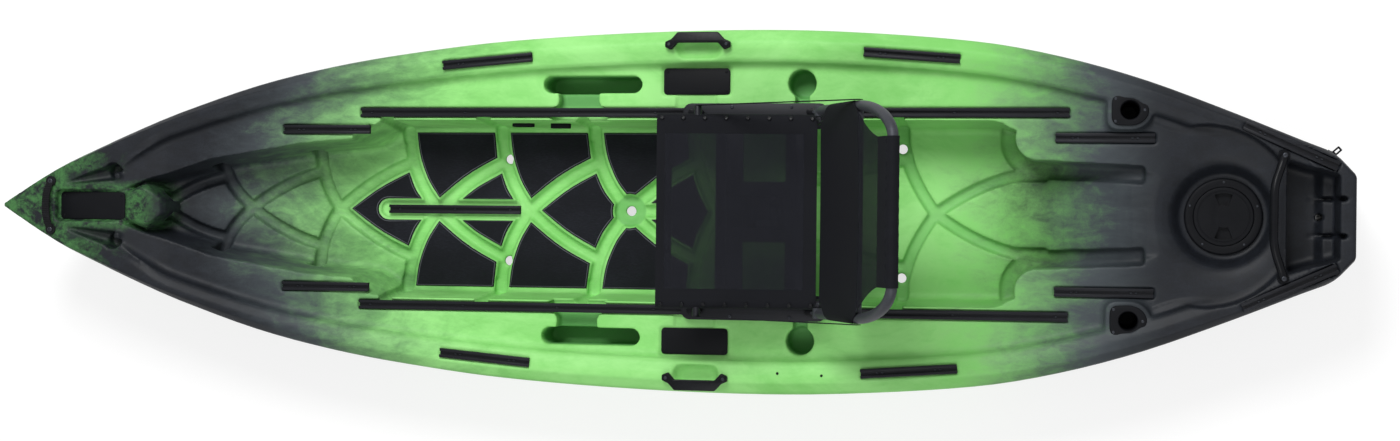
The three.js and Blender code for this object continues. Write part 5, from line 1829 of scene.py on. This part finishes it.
@dataclass
class Deck:
    """Tracks, plates and handles that are fixed to the deck."""

    finishes: Finishes
    slot_floor: float = 0.003
    screw_share: float = 0.3
    rail_pitch: float = 0.24
    handle_half: float = 0.061
    handle_width: float = 0.019
    handle_sweep: float = 0.006
    handle_rise: float = 0.016
    handle_x: float = -1.5246
    handle_z: float = 0.3888
    bar_route: tuple[tuple[float, float, float], ...] = (
        (1.4899, 0.1395, 0.338), (1.4845, 0.119, 0.3385), (1.4669, 0.07, 0.3538))
    bar_radius: float = 0.0098
    wall_fittings: tuple[tuple[str, tuple[float, float, float]], ...] = (
        ("cable_gland", (1.25, 1.7, 1.15)), ("wall_bracket", (1.3, 1.4, 1.1)))
    plugs: tuple[Pair, ...] = ((0.326, -0.386), (0.432, -0.389))
    bow_plate_x: float = -1.4223
    bow_plate_screws: Pair = (0.156, 0.05)
    side_plate_place: Pair = (0.116, 0.3156)
    side_plate_screws: Pair = (0.146, 0.046)
    handle_bolts: tuple[Pair, ...] = ((0.056, 0.402), (0.196, 0.402))

    def track(self, place: TrackPlace) -> None:
        """One slotted track with the screws in its slot.

        Args:
            place: Where the track lies.
        """
        piece = rounded_copy(place.name, 0.0007)
        spots: list[float] = []
        if place.name.startswith("rail"):
            count = round(place.length / self.rail_pitch)
            spots = [lerp(-0.484, 0.484, i / count) * place.length for i in range(count + 1)]
        elif place.name == "floor_track":
            spots = [-0.42 * place.length, 0.0, 0.42 * place.length]
        else:
            spots = [sign * self.screw_share * place.length + gap
                     for sign in (-1, 1) for gap in (-0.006, 0.006)]
        heads = [(Vector((*place.at(spot), place.z + self.slot_floor)), UP) for spot in spots]
        piece = with_bolts(piece, self.finishes.metal, heads, self.finishes.screw, Bolt(0.0031, 0.0016))
        dress(piece, None, "black_aluminium", "boat", place.name)

    def plate(self, node: str, x: float, y: float, length: float, width: float) -> None:
        """One flat plate with a screw in each corner.

        Args:
            node: The plate's CAD node.
            x: Middle of the plate.
            y: Middle of the plate.
            length: Distance between the screws along X.
            width: Distance between the screws along Y.
        """
        corners = [(x + sx * length / 2, y + sy * width / 2) for sx in (-1, 1) for sy in (-1, 1)]
        heads = [(top_of(node, *corner), UP) for corner in corners]
        piece = rounded_copy(node, 0.0012, 3)
        dress(with_bolts(piece, self.finishes.plastic, heads, self.finishes.plastic, Bolt(0.0034, 0.0012)),
              None, "black_plastic", "boat", node)

    def carry_handle(self, side: Side) -> None:
        """Moulded grip over the finger scoop.

        Args:
            side: Side of the boat.
        """
        node = f"carry_handle_{side.word}"
        piece = rounded_copy(node, 0.0032, 4, 25)
        heads = [(top_of(node, x, side.value * y), UP) for x, y in self.handle_bolts]
        piece = with_bolts(piece, self.finishes.gloss, heads, self.finishes.screw)
        dress(piece, None, "black_plastic", "boat", node)

    def bow_handle(self) -> None:
        """Ribbed strap handle between two round bolted ends."""
        rings = []
        count = 132
        for i in range(count + 1):
            t = lerp(-1, 1, i / count)
            rib = 1.35 if i // 3 % 2 and abs(t) < 0.8 else 1.0
            x = self.handle_x - self.handle_sweep * (1 - t * t)
            z = self.handle_z + self.handle_rise * (1 - abs(t) ** 3) * 0.94
            edge = self.handle_width / 2
            outline = rounded(-edge, edge, -0.0024 * rib, 0.0024 * rib, 0.0018, 3)
            rings.append([Vector((x + p, t * self.handle_half, z + q)) for p, q in outline])
        work = bmesh.new()
        add_loft(work, rings)
        heads = []
        for side in Side:
            y = self.handle_half * side.value
            levels = ((0.012, -0.0026), (0.013, -0.002), (0.013, 0.0018), (0.012, 0.0028))
            add_loft(work, [level(circle(self.handle_x, y, radius), self.handle_z + z)
                            for radius, z in levels])
            heads.append((Vector((self.handle_x, y, self.handle_z + 0.0028)), UP))
        strap = smooth_shaded(object_from("bow_strap_handle", work), 35)
        strap = with_bolts(strap, self.finishes.rubber, heads, self.finishes.screw, Bolt(0.0068, 0.0034))
        dress(strap, None, "black_plastic", "boat", "bow_handle")

    def stern_bar(self) -> None:
        """Bent grab bar with flattened bolted ends."""
        feet, knees, tops = ([Vector((x, sign * y, z)) for sign in (-1, 1)] for x, y, z in self.bar_route)
        route = [feet[0], knees[0], tops[0], tops[1], knees[1], feet[1]]
        bar = tube("stern_grab_bar", eased(route, 0.026, 12), self.bar_radius)
        bar.data.materials.append(self.finishes.gloss)
        work = bmesh.new()
        for foot in feet:
            levels = ((0.0125, 0.3278), (0.0132, 0.3285), (0.0132, 0.3335), (0.012, 0.3348))
            add_loft(work, [level(circle(foot.x, foot.y, radius), z) for radius, z in levels])
        ends = smooth_shaded(object_from("ends", work), 35)
        ends.data.materials.append(self.finishes.gloss)
        bar = joined("stern_grab_bar", [bar, ends])
        heads = [(Vector((foot.x + 0.001, foot.y + math.copysign(0.001, foot.y), 0.347)), UP)
                 for foot in feet]
        bar = with_bolts(bar, self.finishes.gloss, heads, self.finishes.screw, Bolt(0.0062, 0.0034))
        dress(bar, None, "black_plastic", "boat", "stern_bar")

    def small_fittings(self) -> None:
        """Gland and bracket on the cockpit's wall, drain fitting and the plugs on the gunwale."""
        for node, grow in self.wall_fittings:
            piece = rounded_copy(node, 0.0009, 2, 35)
            low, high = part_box(node)
            anchor = Vector(((low[0] + high[0]) / 2, high[1], (low[2] + high[2]) / 2))
            for vert in piece.data.vertices:
                vert.co = anchor + Vector(a * b for a, b in zip(vert.co - anchor, grow))
            dress(piece, self.finishes.plastic, "black_plastic", "boat", node)
        boss = rounded_copy("drain_boss", 0.0009, 2, 35)
        dress(boss, self.finishes.plastic, "black_plastic", "boat", "drain_boss")
        work = bmesh.new()
        for x, y in self.plugs:
            Bolt(0.0032, 0.0012).add(work, Vector((x, y, LINES.sheer_at(x) - 0.0002)), UP)
        plugs = smooth_shaded(object_from("gunwale_plugs", work), 50)
        dress(plugs, self.finishes.plastic, "black_plastic", "boat")
        plug = rounded_copy("drain_plug", 0.0008, 2, 35)
        dress(plug, self.finishes.gloss, "black_plastic", "drain_plug", "drain_plug")

    def build(self) -> None:
        """Builds everything on the deck."""
        for place in TRACKS:
            self.track(place)
        self.plate("bow_plate", self.bow_plate_x, 0, *self.bow_plate_screws)
        x, y = self.side_plate_place
        for side in Side:
            self.plate(f"side_plate_{side.word}", x, y * side.value, *self.side_plate_screws)
            self.carry_handle(side)
        self.bow_handle()
        self.stern_bar()
        self.small_fittings()


@dataclass
class FloorPads:
    """Foam pads, each with a pale line routed near its edge."""

    finishes: Finishes
    edge: float = 0.001
    border: float = 0.0018
    wall: float = 0.0003
    line: float = 0.0014
    depth: float = 0.0006
    arc_angle: float = 30.0
    arc_steps: int = 3
    closest: float = 0.0022

    def outline(self, corners: Ring) -> Ring:
        """Outline with its curves made smooth and its corners kept.

        Args:
            corners: The outline in straight pieces.

        Returns:
            The smooth outline.
        """
        smooth = []
        for i, here in enumerate(corners):
            before, after = corners[i - 1], corners[(i + 1) % len(corners)]
            turn = math.degrees((here - before).angle(after - here))
            if not 0.5 < turn < self.arc_angle:
                smooth.append(here)
                continue
            reach = min((here - before).length, (after - here).length) / 2
            start = here.lerp(before, reach / (here - before).length)
            end = here.lerp(after, reach / (after - here).length)
            for k in range(self.arc_steps + 1):
                share = k / self.arc_steps
                smooth.append(start * (1 - share) ** 2 + here * (2 * share * (1 - share)) + end * share**2)
        kept = [smooth[0]]
        for here in smooth[1:]:
            if (here - kept[-1]).length > self.closest and (here - kept[0]).length > self.closest:
                kept.append(here)
        return kept

    def pad(self, node: str) -> None:
        """One pad.

        Args:
            node: The pad's CAD node.
        """
        source = solid_copy(node)
        low, high = (pick(vert.co.z for vert in source.verts) for pick in (min, max))
        top = max((face for face in source.faces if face.normal.z > 0.9), key=lambda face: face.calc_area())
        outline = self.outline([vert.co.copy() for vert in top.verts])
        source.free()
        work = bmesh.new()
        add_loft(work, [[Vector((p.x, p.y, z)) for p in outline] for z in (low, high)])
        rim = [edge for edge in work.edges
               if all(vert.co.z > high - 1e-5 for vert in edge.verts) and edge.calc_face_angle(0) > 0.5]
        bmesh.ops.bevel(work, geom=rim, offset=self.edge, offset_type="OFFSET", affect="EDGES", segments=2,
                        profile=0.5, material=-1, clamp_overlap=True)
        top = max((face for face in work.faces if face.normal.z > 0.9), key=lambda face: face.calc_area())
        rows = ((self.border, 0, 0), (self.wall, -self.depth, 1),
                (self.line, 0, 1), (self.wall, self.depth, 1))
        for thickness, depth, index in rows:
            made = bmesh.ops.inset_region(work, faces=[top], thickness=thickness, depth=depth,
                                          use_even_offset=False)
            for face in made["faces"]:
                face.material_index = index
        piece = smooth_shaded(object_from(f"{node}_foam", work), 40)
        piece.data.materials.append(self.finishes.foam)
        piece.data.materials.append(self.finishes.foam_edge)
        dress(piece, None, "floor_foam", "boat", node)

    def build(self) -> None:
        """Builds every pad."""
        for node in sorted(frame["nodes"]):
            if node.startswith("pad_"):
                self.pad(node)


@dataclass
class Hatch:
    """Round stern hatch: flanged ring, seal and lid."""

    finishes: Finishes
    x: float = 1.3629
    screw_radius: float = 0.0805
    screws: int = 5
    recess: Pair = (0.026, 0.0545)
    recess_half: float = 22.0
    recess_floor: float = 0.2305

    def ring(self) -> None:
        """Flanged ring that is screwed to the hull."""
        profile = [(0.065, 0.2183), (0.071, 0.2183), (0.071, 0.2323), (0.0893, 0.2323), (0.09, 0.2329),
                   (0.09, 0.2362), (0.0892, 0.2382), (0.0875, 0.24), (0.0853, 0.2411), (0.0835, 0.2413),
                   (0.0708, 0.2413), (0.07, 0.241), (0.0697, 0.2402), (0.0697, 0.232), (0.065, 0.232)]
        piece = spun("hatch_flange", self.x, 0, profile, 80, looped=True)
        heads = []
        for i in range(self.screws):
            angle = math.radians(18 + 360 * i / self.screws)
            reach = self.screw_radius
            heads.append((Vector((self.x + reach * math.cos(angle), reach * math.sin(angle), 0.2412)), UP))
        piece = with_bolts(piece, self.finishes.plastic, heads, self.finishes.screw, Bolt(0.003, 0.0014))
        dress(piece, None, "black_plastic", "boat", "hatch_ring")

    def lid(self) -> None:
        """Lid with two finger recesses."""
        profile = [(0.06, 0.2225), (0.0642, 0.2245), (0.0642, 0.2364), (0.0675, 0.2364), (0.0688, 0.2376),
                   (0.0688, 0.2414), (0.0682, 0.2425), (0.067, 0.2432), (0.0655, 0.2433), (0.061, 0.2433),
                   (0.0603, 0.2426), (0.0587, 0.2426), (0.058, 0.2433)]
        carver = Carver(spun("hatch_cover", self.x, 0, profile, 80))
        for turn in (90, 270):
            start, end = turn - self.recess_half, turn + self.recess_half
            inner, outer = self.recess
            outline = arc(self.x, 0, outer, start, end, 8) + arc(self.x, 0, inner, end, start, 6)
            carver.cut([[level(outline, z) for z in (self.recess_floor, 0.26)]])
        piece = carver.finished()
        modifier(piece, "BEVEL", width=0.0011, segments=3, limit_method="ANGLE", angle_limit=math.radians(50))
        piece = smooth_shaded(evaluated(piece), 40)
        dress(piece, self.finishes.plastic, "black_plastic", "hatch_lid", "hatch_lid")

    def build(self) -> None:
        """Builds the hatch."""
        self.ring()
        self.lid()
        seal = rounded_copy("hatch_seal", 0.0002, 1, 60)
        dress(seal, self.finishes.rubber, "rubber", "hatch_seal", "hatch_seal")


@dataclass
class RodHolders:
    """Flush rod holders: a flange and a blind tube."""

    finishes: Finishes
    bore: float = 0.0215
    wall: float = 0.003
    low: float = 0.1283
    flange: Pair = (0.3123, 0.3183)

    def holder(self, side: Side) -> None:
        """One rod holder.

        Args:
            side: Side of the boat.
        """
        x, y = ROD_X, ROD_Y * side.value
        bottom, top = self.flange
        outer = self.bore + self.wall

        def disc(radius: float, z: float) -> Ring:
            """Round ring of the tube."""
            return level(circle(x, y, radius, 48), z)

        rings = [
            disc(self.bore, self.low), disc(self.bore, top - 0.004), disc(self.bore + 0.0008, top - 0.0015),
            disc(self.bore + 0.0025, top), disc(self.bore + 0.005, top),
            level(rod_outline(side, -0.003), top),
            level(rod_outline(side, -0.0012), top - 0.0006), level(rod_outline(side, 0), top - 0.0024),
            level(rod_outline(side, 0), bottom), disc(outer, bottom), disc(outer, self.low),
        ]
        work = bmesh.new()
        add_loft(work, rings, looped=True)
        piece = smooth_shaded(object_from(f"rod_holder_{side.word}_flange", work), 35)
        spots = ((0.033, 0.0), (-0.0335, 0.0265), (-0.0335, -0.0265))
        heads = [(Vector((x + along, y + across, top - 0.0004)), UP) for along, across in spots]
        piece = with_bolts(piece, self.finishes.plastic, heads, self.finishes.screw, Bolt(0.0034, 0.0014))
        dress(piece, None, "black_plastic", "boat", f"rod_holder_{side.word}")

    def build(self) -> None:
        """Builds both holders."""
        for side in Side:
            self.holder(side)


def woven_sheet(name: str, us: Sequence[float], vs: Sequence[float], shape: Callable[[float, float], Vector],
                double: Callable[[float, float], float], thickness: float) -> Piece:
    """Sheet of woven mesh.

    Args:
        name: Name of the piece.
        us: Places of the rows along the sheet.
        vs: Places of the columns across it.
        shape: Point in space of each row and column.
        double: 1 where the cloth lies double, else 0.
        thickness: Thickness of the cloth.

    Returns:
        The sheet, with its flat places as UVs in metres.
    """
    work = bmesh.new()
    uv = work.loops.layers.uv.new("flat")
    layer = work.verts.layers.float.new("double")
    bmesh.ops.create_grid(work, x_segments=len(us) - 1, y_segments=len(vs) - 1, size=1)
    flat = {}
    for vert in work.verts:
        u = us[round((vert.co.x + 1) / 2 * (len(us) - 1))]
        v = vs[round((vert.co.y + 1) / 2 * (len(vs) - 1))]
        flat[vert] = (u, v)
        vert[layer] = double(u, v)
        vert.co = shape(u, v)
    for face in work.faces:
        for loop in face.loops:
            loop[uv].uv = flat[loop.vert]
    piece = object_from(name, work)
    modifier(piece, "SOLIDIFY", thickness=thickness, offset=0.0)
    return smooth_shaded(evaluated(piece), 60)


@dataclass
class Seat:
    """Sliding base, swivel, mesh seat and folding backrest."""

    finishes: Finishes
    front: float = 0.063
    front_height: float = 0.5
    drop: float = 8.45
    run: float = 0.37406
    tube_half: float = 0.214
    tube_drop: float = 0.0138
    wrap: float = 0.0126
    sag: float = 0.012
    hinge: Pair = (0.441, 0.4612)
    recline: float = 27.0
    back_half: float = 0.234
    back_radius: float = 0.012
    shoulder: float = 0.228
    back_height: float = 0.455
    top_half: float = 0.156
    cross_at: float = 0.262
    cross_radius: float = 0.007
    sling_gap: float = 0.0134
    strap_y: float = 0.2471
    strap_width: float = 0.018
    rivets: int = 8
    rivet_ends: Pair = (0.012, 0.362)
    plate_bolts: tuple[Pair, ...] = ((0.205, 0.209), (0.205, 0.253), (0.35, 0.209), (0.35, 0.253))
    knob_x: Pair = (0.118, 0.406)
    knob_y: float = 0.24
    back_low: float = 0.042
    back_flat: float = 0.4936

    @property
    def seat_matrix(self) -> Matrix:
        """Places the tilted seat plane in the boat."""
        lean = Matrix.Rotation(math.radians(self.drop), 4, "Y")
        return Matrix.Translation((self.front, 0, self.front_height)) @ lean

    @property
    def back_matrix(self) -> Matrix:
        """Places the reclined back in the boat."""
        lean = Matrix.Rotation(math.radians(self.recline), 4, "Y")
        return Matrix.Translation((self.hinge[0], 0, self.hinge[1])) @ lean

    def base(self) -> None:
        """Plates on the rails, bridge, turntable and clamp knobs."""
        metal = self.finishes.metal
        for side in Side:
            node = f"seat_plate_{side.word}"
            heads = [(top_of(node, x, side.value * y), UP) for x, y in self.plate_bolts]
            dress(with_bolts(rounded_copy(node, 0.001), metal, heads, self.finishes.screw), None,
                  "black_aluminium", "seat_base", node)
            for end, x in zip(("front", "rear"), self.knob_x):
                knob = f"clamp_knob_{end}_{side.word}"
                head = [(top_of(knob, x, side.value * self.knob_y), UP)]
                piece = rounded_copy(knob, 0.0016, 3, 25)
                piece = with_bolts(piece, self.finishes.gloss, head, self.finishes.screw)
                dress(piece, None, "black_plastic", knob, knob)
        for node, body, width in (("seat_bridge", "seat_base", 0.001), ("swivel_lower", "seat_base", 0.0007),
                                  ("swivel_upper", "seat_top", 0.0008), ("seat_frame", "seat_top", 0.0008)):
            dress(rounded_copy(node, width, 2, 40), metal, "black_aluminium", body, node)

    def seat_point(self, u: float, v: float) -> Vector:
        """Place of the seat's cloth: a sag between the tubes, then a turn round them.

        Args:
            u: Place along the seat.
            v: Place across it.

        Returns:
            The point.
        """
        over = abs(v) - self.tube_half
        if over <= 0:
            middle = 1 - (v / self.tube_half) ** 2
            ease = min(1.0, 0.55 + 0.45 * math.sin(math.pi * u / self.run))
            low = self.wrap - self.tube_drop - self.sag * middle * ease
            return self.seat_matrix @ Vector((u, v, low))
        angle = over / self.wrap
        y = math.copysign(self.tube_half + self.wrap * math.sin(angle), v)
        return self.seat_matrix @ Vector((u, y, self.wrap * math.cos(angle) - self.tube_drop))

    def seat_cloth(self) -> None:
        """Seat of woven mesh with doubled borders and rivets on the side tubes."""
        folds = {0.0, 0.0006, 0.019, 0.0196, 0.343, 0.3436, self.run}
        us = sorted(folds | {lerp(0, self.run, i / 40) for i in range(41)})
        half = self.tube_half + self.wrap * 1.5
        hems = {-half, -0.181, -0.1804, 0.1804, 0.181, half}
        vs = sorted(hems | {lerp(-half, half, i / 56) for i in range(57)})

        def double(u: float, v: float) -> float:
            """Doubled along all four edges."""
            return float(abs(v) > 0.1805 or u < 0.0193 or u > 0.3433)

        piece = woven_sheet("seat_cloth", us, vs, self.seat_point, double, 0.0012)
        heads = []
        for sign in (-1, 1):
            for i in range(self.rivets):
                along = lerp(*self.rivet_ends, i / (self.rivets - 1))
                place = self.seat_point(along, sign * (self.tube_half + 0.0028))
                axis = self.seat_matrix @ Vector((0, sign * self.tube_half, -self.tube_drop))
                normal = Vector((0, place.y - axis.y, 0)) + UP * self.wrap
                heads.append((place + normal.normalized() * 0.0005, normal))
        dress(piece, self.finishes.mesh, "seat_mesh", "seat_top", "seat_sling")
        work = bmesh.new()
        for place, normal in heads:
            Bolt(0.0055, 0.0026).add(work, place, normal)
        rivets = smooth_shaded(object_from("seat_rivets", work), 50)
        dress(rivets, self.finishes.gloss, "black_plastic", "seat_top")

    def back_frame(self) -> None:
        """Bent tube of the backrest with its cross tube."""
        half = [Vector((0, self.back_half, z)) for z in (0.0, 0.08, 0.16, 0.21)]
        for i in range(13):
            angle = math.radians(90 * i / 12)
            y = self.top_half + (self.back_half - self.top_half) * math.cos(angle)
            half.append(Vector((0, y, self.shoulder + (self.back_height - self.shoulder) * math.sin(angle))))
        half.append(Vector((0, 0.07, self.back_height)))
        route = half + [Vector((0, -p.y, p.z)) for p in reversed(half)]
        bent = tube("back_tube", [self.back_matrix @ p for p in route], self.back_radius, 28)
        ends = [Vector((0, sign * (self.back_half - 0.004), self.cross_at)) for sign in (-1, 1)]
        cross = tube("cross_tube", [self.back_matrix @ p for p in ends], self.cross_radius, 20)
        parts = [bent, cross]
        for sign in (-1, 1):
            low, high = self.back_half - self.back_radius, self.back_half + self.back_radius
            levels = ((0.0122, low), (0.0132, low + 0.001), (0.0132, high - 0.001), (0.0122, high))
            eye = [[Vector((self.hinge[0] + x, sign * y, self.hinge[1] + z)) for x, z in circle(0, 0, r)]
                   for r, y in levels]
            parts.append(smooth_shaded(loft("eye", eye), 40))
        for part in parts:
            part.data.materials.append(self.finishes.tube)
        dress(joined("back_tubes", parts), None, "black_aluminium", "backrest", "back_frame")

    def back_point(self, u: float, v: float) -> Vector:
        """Place of the back's cloth, in front of the tubes and turned round them at the sides.

        Args:
            u: Height along the back.
            v: Place across it.

        Returns:
            The point.
        """
        over = abs(v) - self.back_half
        if over <= 0:
            rise = math.sin(math.pi * min(u / self.back_height, 1))
            hollow = 0.0045 * (1 - (v / self.back_half) ** 2) * rise
            return self.back_matrix @ Vector((hollow - self.sling_gap, v, u))
        angle = over / self.sling_gap
        y = math.copysign(self.back_half + self.sling_gap * math.sin(angle), v)
        return self.back_matrix @ Vector((-self.sling_gap * math.cos(angle), y, u))

    def back_edge(self, u: float) -> float:
        """Half width of the back's cloth at a height along the back.

        Args:
            u: The height.

        Returns:
            The half width.
        """
        wide = self.back_half + self.sling_gap * 0.95
        if u < 0.105:
            return lerp(0.198, wide, math.sin(math.pi / 2 * (u - self.back_low) / 0.063))
        if u < 0.25:
            return wide
        t = (u - 0.25) / (self.back_height - 0.25)
        return wide * (1 - t) ** 2.2 + 0.155 * (1 - (1 - t) ** 2.2)

    def back_cloth(self) -> None:
        """Back of woven mesh with a sleeve over the top tube."""
        rows = {self.back_low, 0.0426, 0.064, 0.0646, 0.247, 0.2476, 0.278, 0.2786, self.back_height}
        us = sorted(rows | {lerp(self.back_low, self.back_height, i / 56) for i in range(57)})
        vs = [lerp(-1, 1, i / 60) for i in range(61)]

        def double(u: float, v: float) -> float:
            """Doubled from the lower hem up to the cross tube."""
            return float(u < 0.2783)

        piece = woven_sheet("back_cloth", us, vs, lambda u, v: self.back_point(u, v * self.back_edge(u)),
                            double, 0.0012)
        dress(piece, self.finishes.mesh, "seat_mesh", "backrest", "back_sling")
        rings = []
        for i in range(41):
            y = lerp(-0.16, 0.16, i / 40)
            puff = 0.0003 * math.sin(i * 1.9)
            around = arc(0, self.back_height, 0.0139 + puff, 180, 0, 14)
            outline = [*around, (0.004, self.back_height - 0.026), (-0.0105, self.back_height - 0.05),
                       (-0.0148, self.back_height - 0.05)]
            rings.append([self.back_matrix @ Vector((x, y, z)) for x, z in outline])
        sleeve = smooth_shaded(loft("back_sleeve", rings), 60)
        dress(sleeve, self.finishes.sleeve, "seat_mesh", "backrest")

    def straps(self) -> None:
        """Straps from the seat's front to the sides of the back."""
        start = Vector((0.155, 0, 0.4725))
        end = self.back_matrix @ Vector((0, 0, self.cross_at))
        for side in Side:
            work = bmesh.new()
            bmesh.ops.create_grid(work, x_segments=40, y_segments=2, size=1)
            along = (end - start).normalized()
            across = along.cross(Vector((0, 1, 0)))
            for vert in work.verts:
                t = (vert.co.x + 1) / 2
                place = start.lerp(end, t) + across * (vert.co.y * self.strap_width / 2)
                vert.co = Vector((place.x, side.value * self.strap_y, place.z))
            strap = object_from(f"back_strap_{side.word}_webbing", work)
            modifier(strap, "SOLIDIFY", thickness=0.0016, offset=0.0)
            smooth_shaded(evaluated(strap), 60)
            strap.data.materials.append(self.finishes.webbing)
            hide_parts(f"back_strap_{side.word}")
            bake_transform(strap)
            dress(rounded_copy(f"hinge_pin_{side.word}", 0.0005, 2, 40), self.finishes.screw,
                  "black_aluminium", "seat_top", f"hinge_pin_{side.word}")

    def build(self) -> None:
        """Builds the whole seat."""
        self.base()
        self.seat_cloth()
        self.back_frame()
        self.back_cloth()
        self.straps()


@dataclass
class Studio:
    """Pale floor, soft lights and the camera of the photograph."""

    distance: float = 4.9
    tilt: float = 0.187
    roll: float = -0.0105
    lens_pixels: float = 2024.8
    width_pixels: float = 1400.0
    aim: tuple[float, float, float] = (0.13, -0.022, 0.3)

    def camera(self) -> None:
        """Makes the camera and points it as the photograph's was."""
        data = bpy.data.cameras.new("camera")
        data.sensor_width = 36.0
        data.lens = 36.0 * self.lens_pixels / self.width_pixels
        data.clip_end = 100.0
        camera = bpy.data.objects.new("camera", data)
        bpy.context.scene.collection.objects.link(camera)
        forward = Vector((-math.sin(self.tilt), 0, -math.cos(self.tilt)))
        right = Vector((math.cos(self.tilt), 0, -math.sin(self.tilt)))
        up = Vector((0, 1, 0))
        c, s = math.cos(self.roll), math.sin(self.roll)
        axes = (right * c - up * s, right * s + up * c, -forward)
        turn = Matrix(axes).transposed().to_4x4()
        camera.matrix_world = Matrix.Translation(Vector(self.aim) - forward * self.distance) @ turn
        bpy.context.scene.camera = camera

    def floor(self) -> None:
        """Makes the floor, pale to the camera and shaded near the boat."""
        work = bmesh.new()
        bmesh.ops.create_grid(work, x_segments=1, y_segments=1, size=20)
        floor = object_from("studio_floor", work)
        floor.location.z = CAD_BOX[0].z - 0.0005
        web = Web("studio_floor")
        rays = web.node("ShaderNodeLightPath").outputs
        seen = Strand(web, rays["Is Camera Ray"]).largest(Strand(web, rays["Is Glossy Ray"]))
        seen = seen.largest(Strand(web, rays["Is Transmission Ray"]))
        glow = web.node("ShaderNodeEmission", None, {"Color": (1.0, 1.0, 1.0), "Strength": 0.72})
        matt = web.node("ShaderNodeBsdfDiffuse", None, {"Color": (0.5, 0.5, 0.5)})
        faint = web.node("ShaderNodeBsdfDiffuse", None, {"Color": (0.32, 0.32, 0.32)})
        pale = web.node("ShaderNodeAddShader", None, {0: glow.outputs[0], 1: faint.outputs[0]})
        both = web.node("ShaderNodeMixShader", None, {0: seen, 1: matt.outputs[0], 2: pale.outputs[0]})
        web.node("ShaderNodeOutputMaterial", None, {"Surface": both.outputs[0]})
        floor.data.materials.append(web.material)

    def lights(self) -> None:
        """Makes the soft studio light."""
        world = bpy.data.worlds.new("studio")
        bpy.context.scene.world = world
        world.use_nodes = True
        tree = world.node_tree
        tree.nodes.clear()
        rays = tree.nodes.new("ShaderNodeLightPath")
        room = tree.nodes.new("ShaderNodeBackground")
        room.inputs["Strength"].default_value = 0.4
        sky = tree.nodes.new("ShaderNodeBackground")
        sky.inputs["Strength"].default_value = 1.0
        seen = tree.nodes.new("ShaderNodeMixShader")
        out = tree.nodes.new("ShaderNodeOutputWorld")
        for background in (room, sky):
            background.inputs["Color"].default_value = (1.0, 1.0, 1.0, 1.0)
        shown = rays.outputs["Is Camera Ray"]
        for ray in ("Is Glossy Ray", "Is Transmission Ray"):
            either = tree.nodes.new("ShaderNodeMath")
            either.operation = "MAXIMUM"
            tree.links.new(shown, either.inputs[0])
            tree.links.new(rays.outputs[ray], either.inputs[1])
            shown = either.outputs[0]
        tree.links.new(shown, seen.inputs[0])
        tree.links.new(room.outputs[0], seen.inputs[1])
        tree.links.new(sky.outputs[0], seen.inputs[2])
        tree.links.new(seen.outputs[0], out.inputs["Surface"])
        lamps = (("key", (-0.3, 3.1, 4.7), 2.4, 270.0), ("fill", (0.5, -3.3, 4.9), 3.4, 110.0))
        for name, place, size, power in lamps:
            data = bpy.data.lights.new(name, "AREA")
            data.shape = "DISK"
            data.size = size
            data.energy = power
            lamp = bpy.data.objects.new(name, data)
            bpy.context.scene.collection.objects.link(lamp)
            lamp.location = place
            lamp.rotation_euler = (Vector((0, 0, 0.2)) - Vector(place)).to_track_quat("-Z", "Y").to_euler()

    def build(self) -> None:
        """Sets the whole studio up."""
        self.camera()
        self.floor()
        self.lights()
        bpy.context.scene.view_settings.view_transform = "Standard"


def main() -> None:
    """Builds the boat's pieces in order."""
    logging.basicConfig(level=logging.INFO, format="%(name)s: %(message)s")
    Studio().build()
    finishes = Finishes()
    by_slot = {
        "moulded_hull": finishes.hull, "black_plastic": finishes.plastic, "black_aluminium": finishes.metal,
        "floor_foam": finishes.foam, "seat_mesh": finishes.mesh, "webbing": finishes.webbing,
        "rubber": finishes.rubber,
    }
    for part in frame["record"]["subparts"]:
        node = frame["nodes"][part["node"]]
        node.data.materials.clear()
        node.data.materials.append(by_slot[part["material_slot"]])
    Hull().build(finishes)
    Deck(finishes).build()
    FloorPads(finishes).build()
    Hatch(finishes).build()
    RodHolders(finishes).build()
    Seat(finishes).build()
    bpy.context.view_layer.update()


if __name__ == "__main__":
    main()
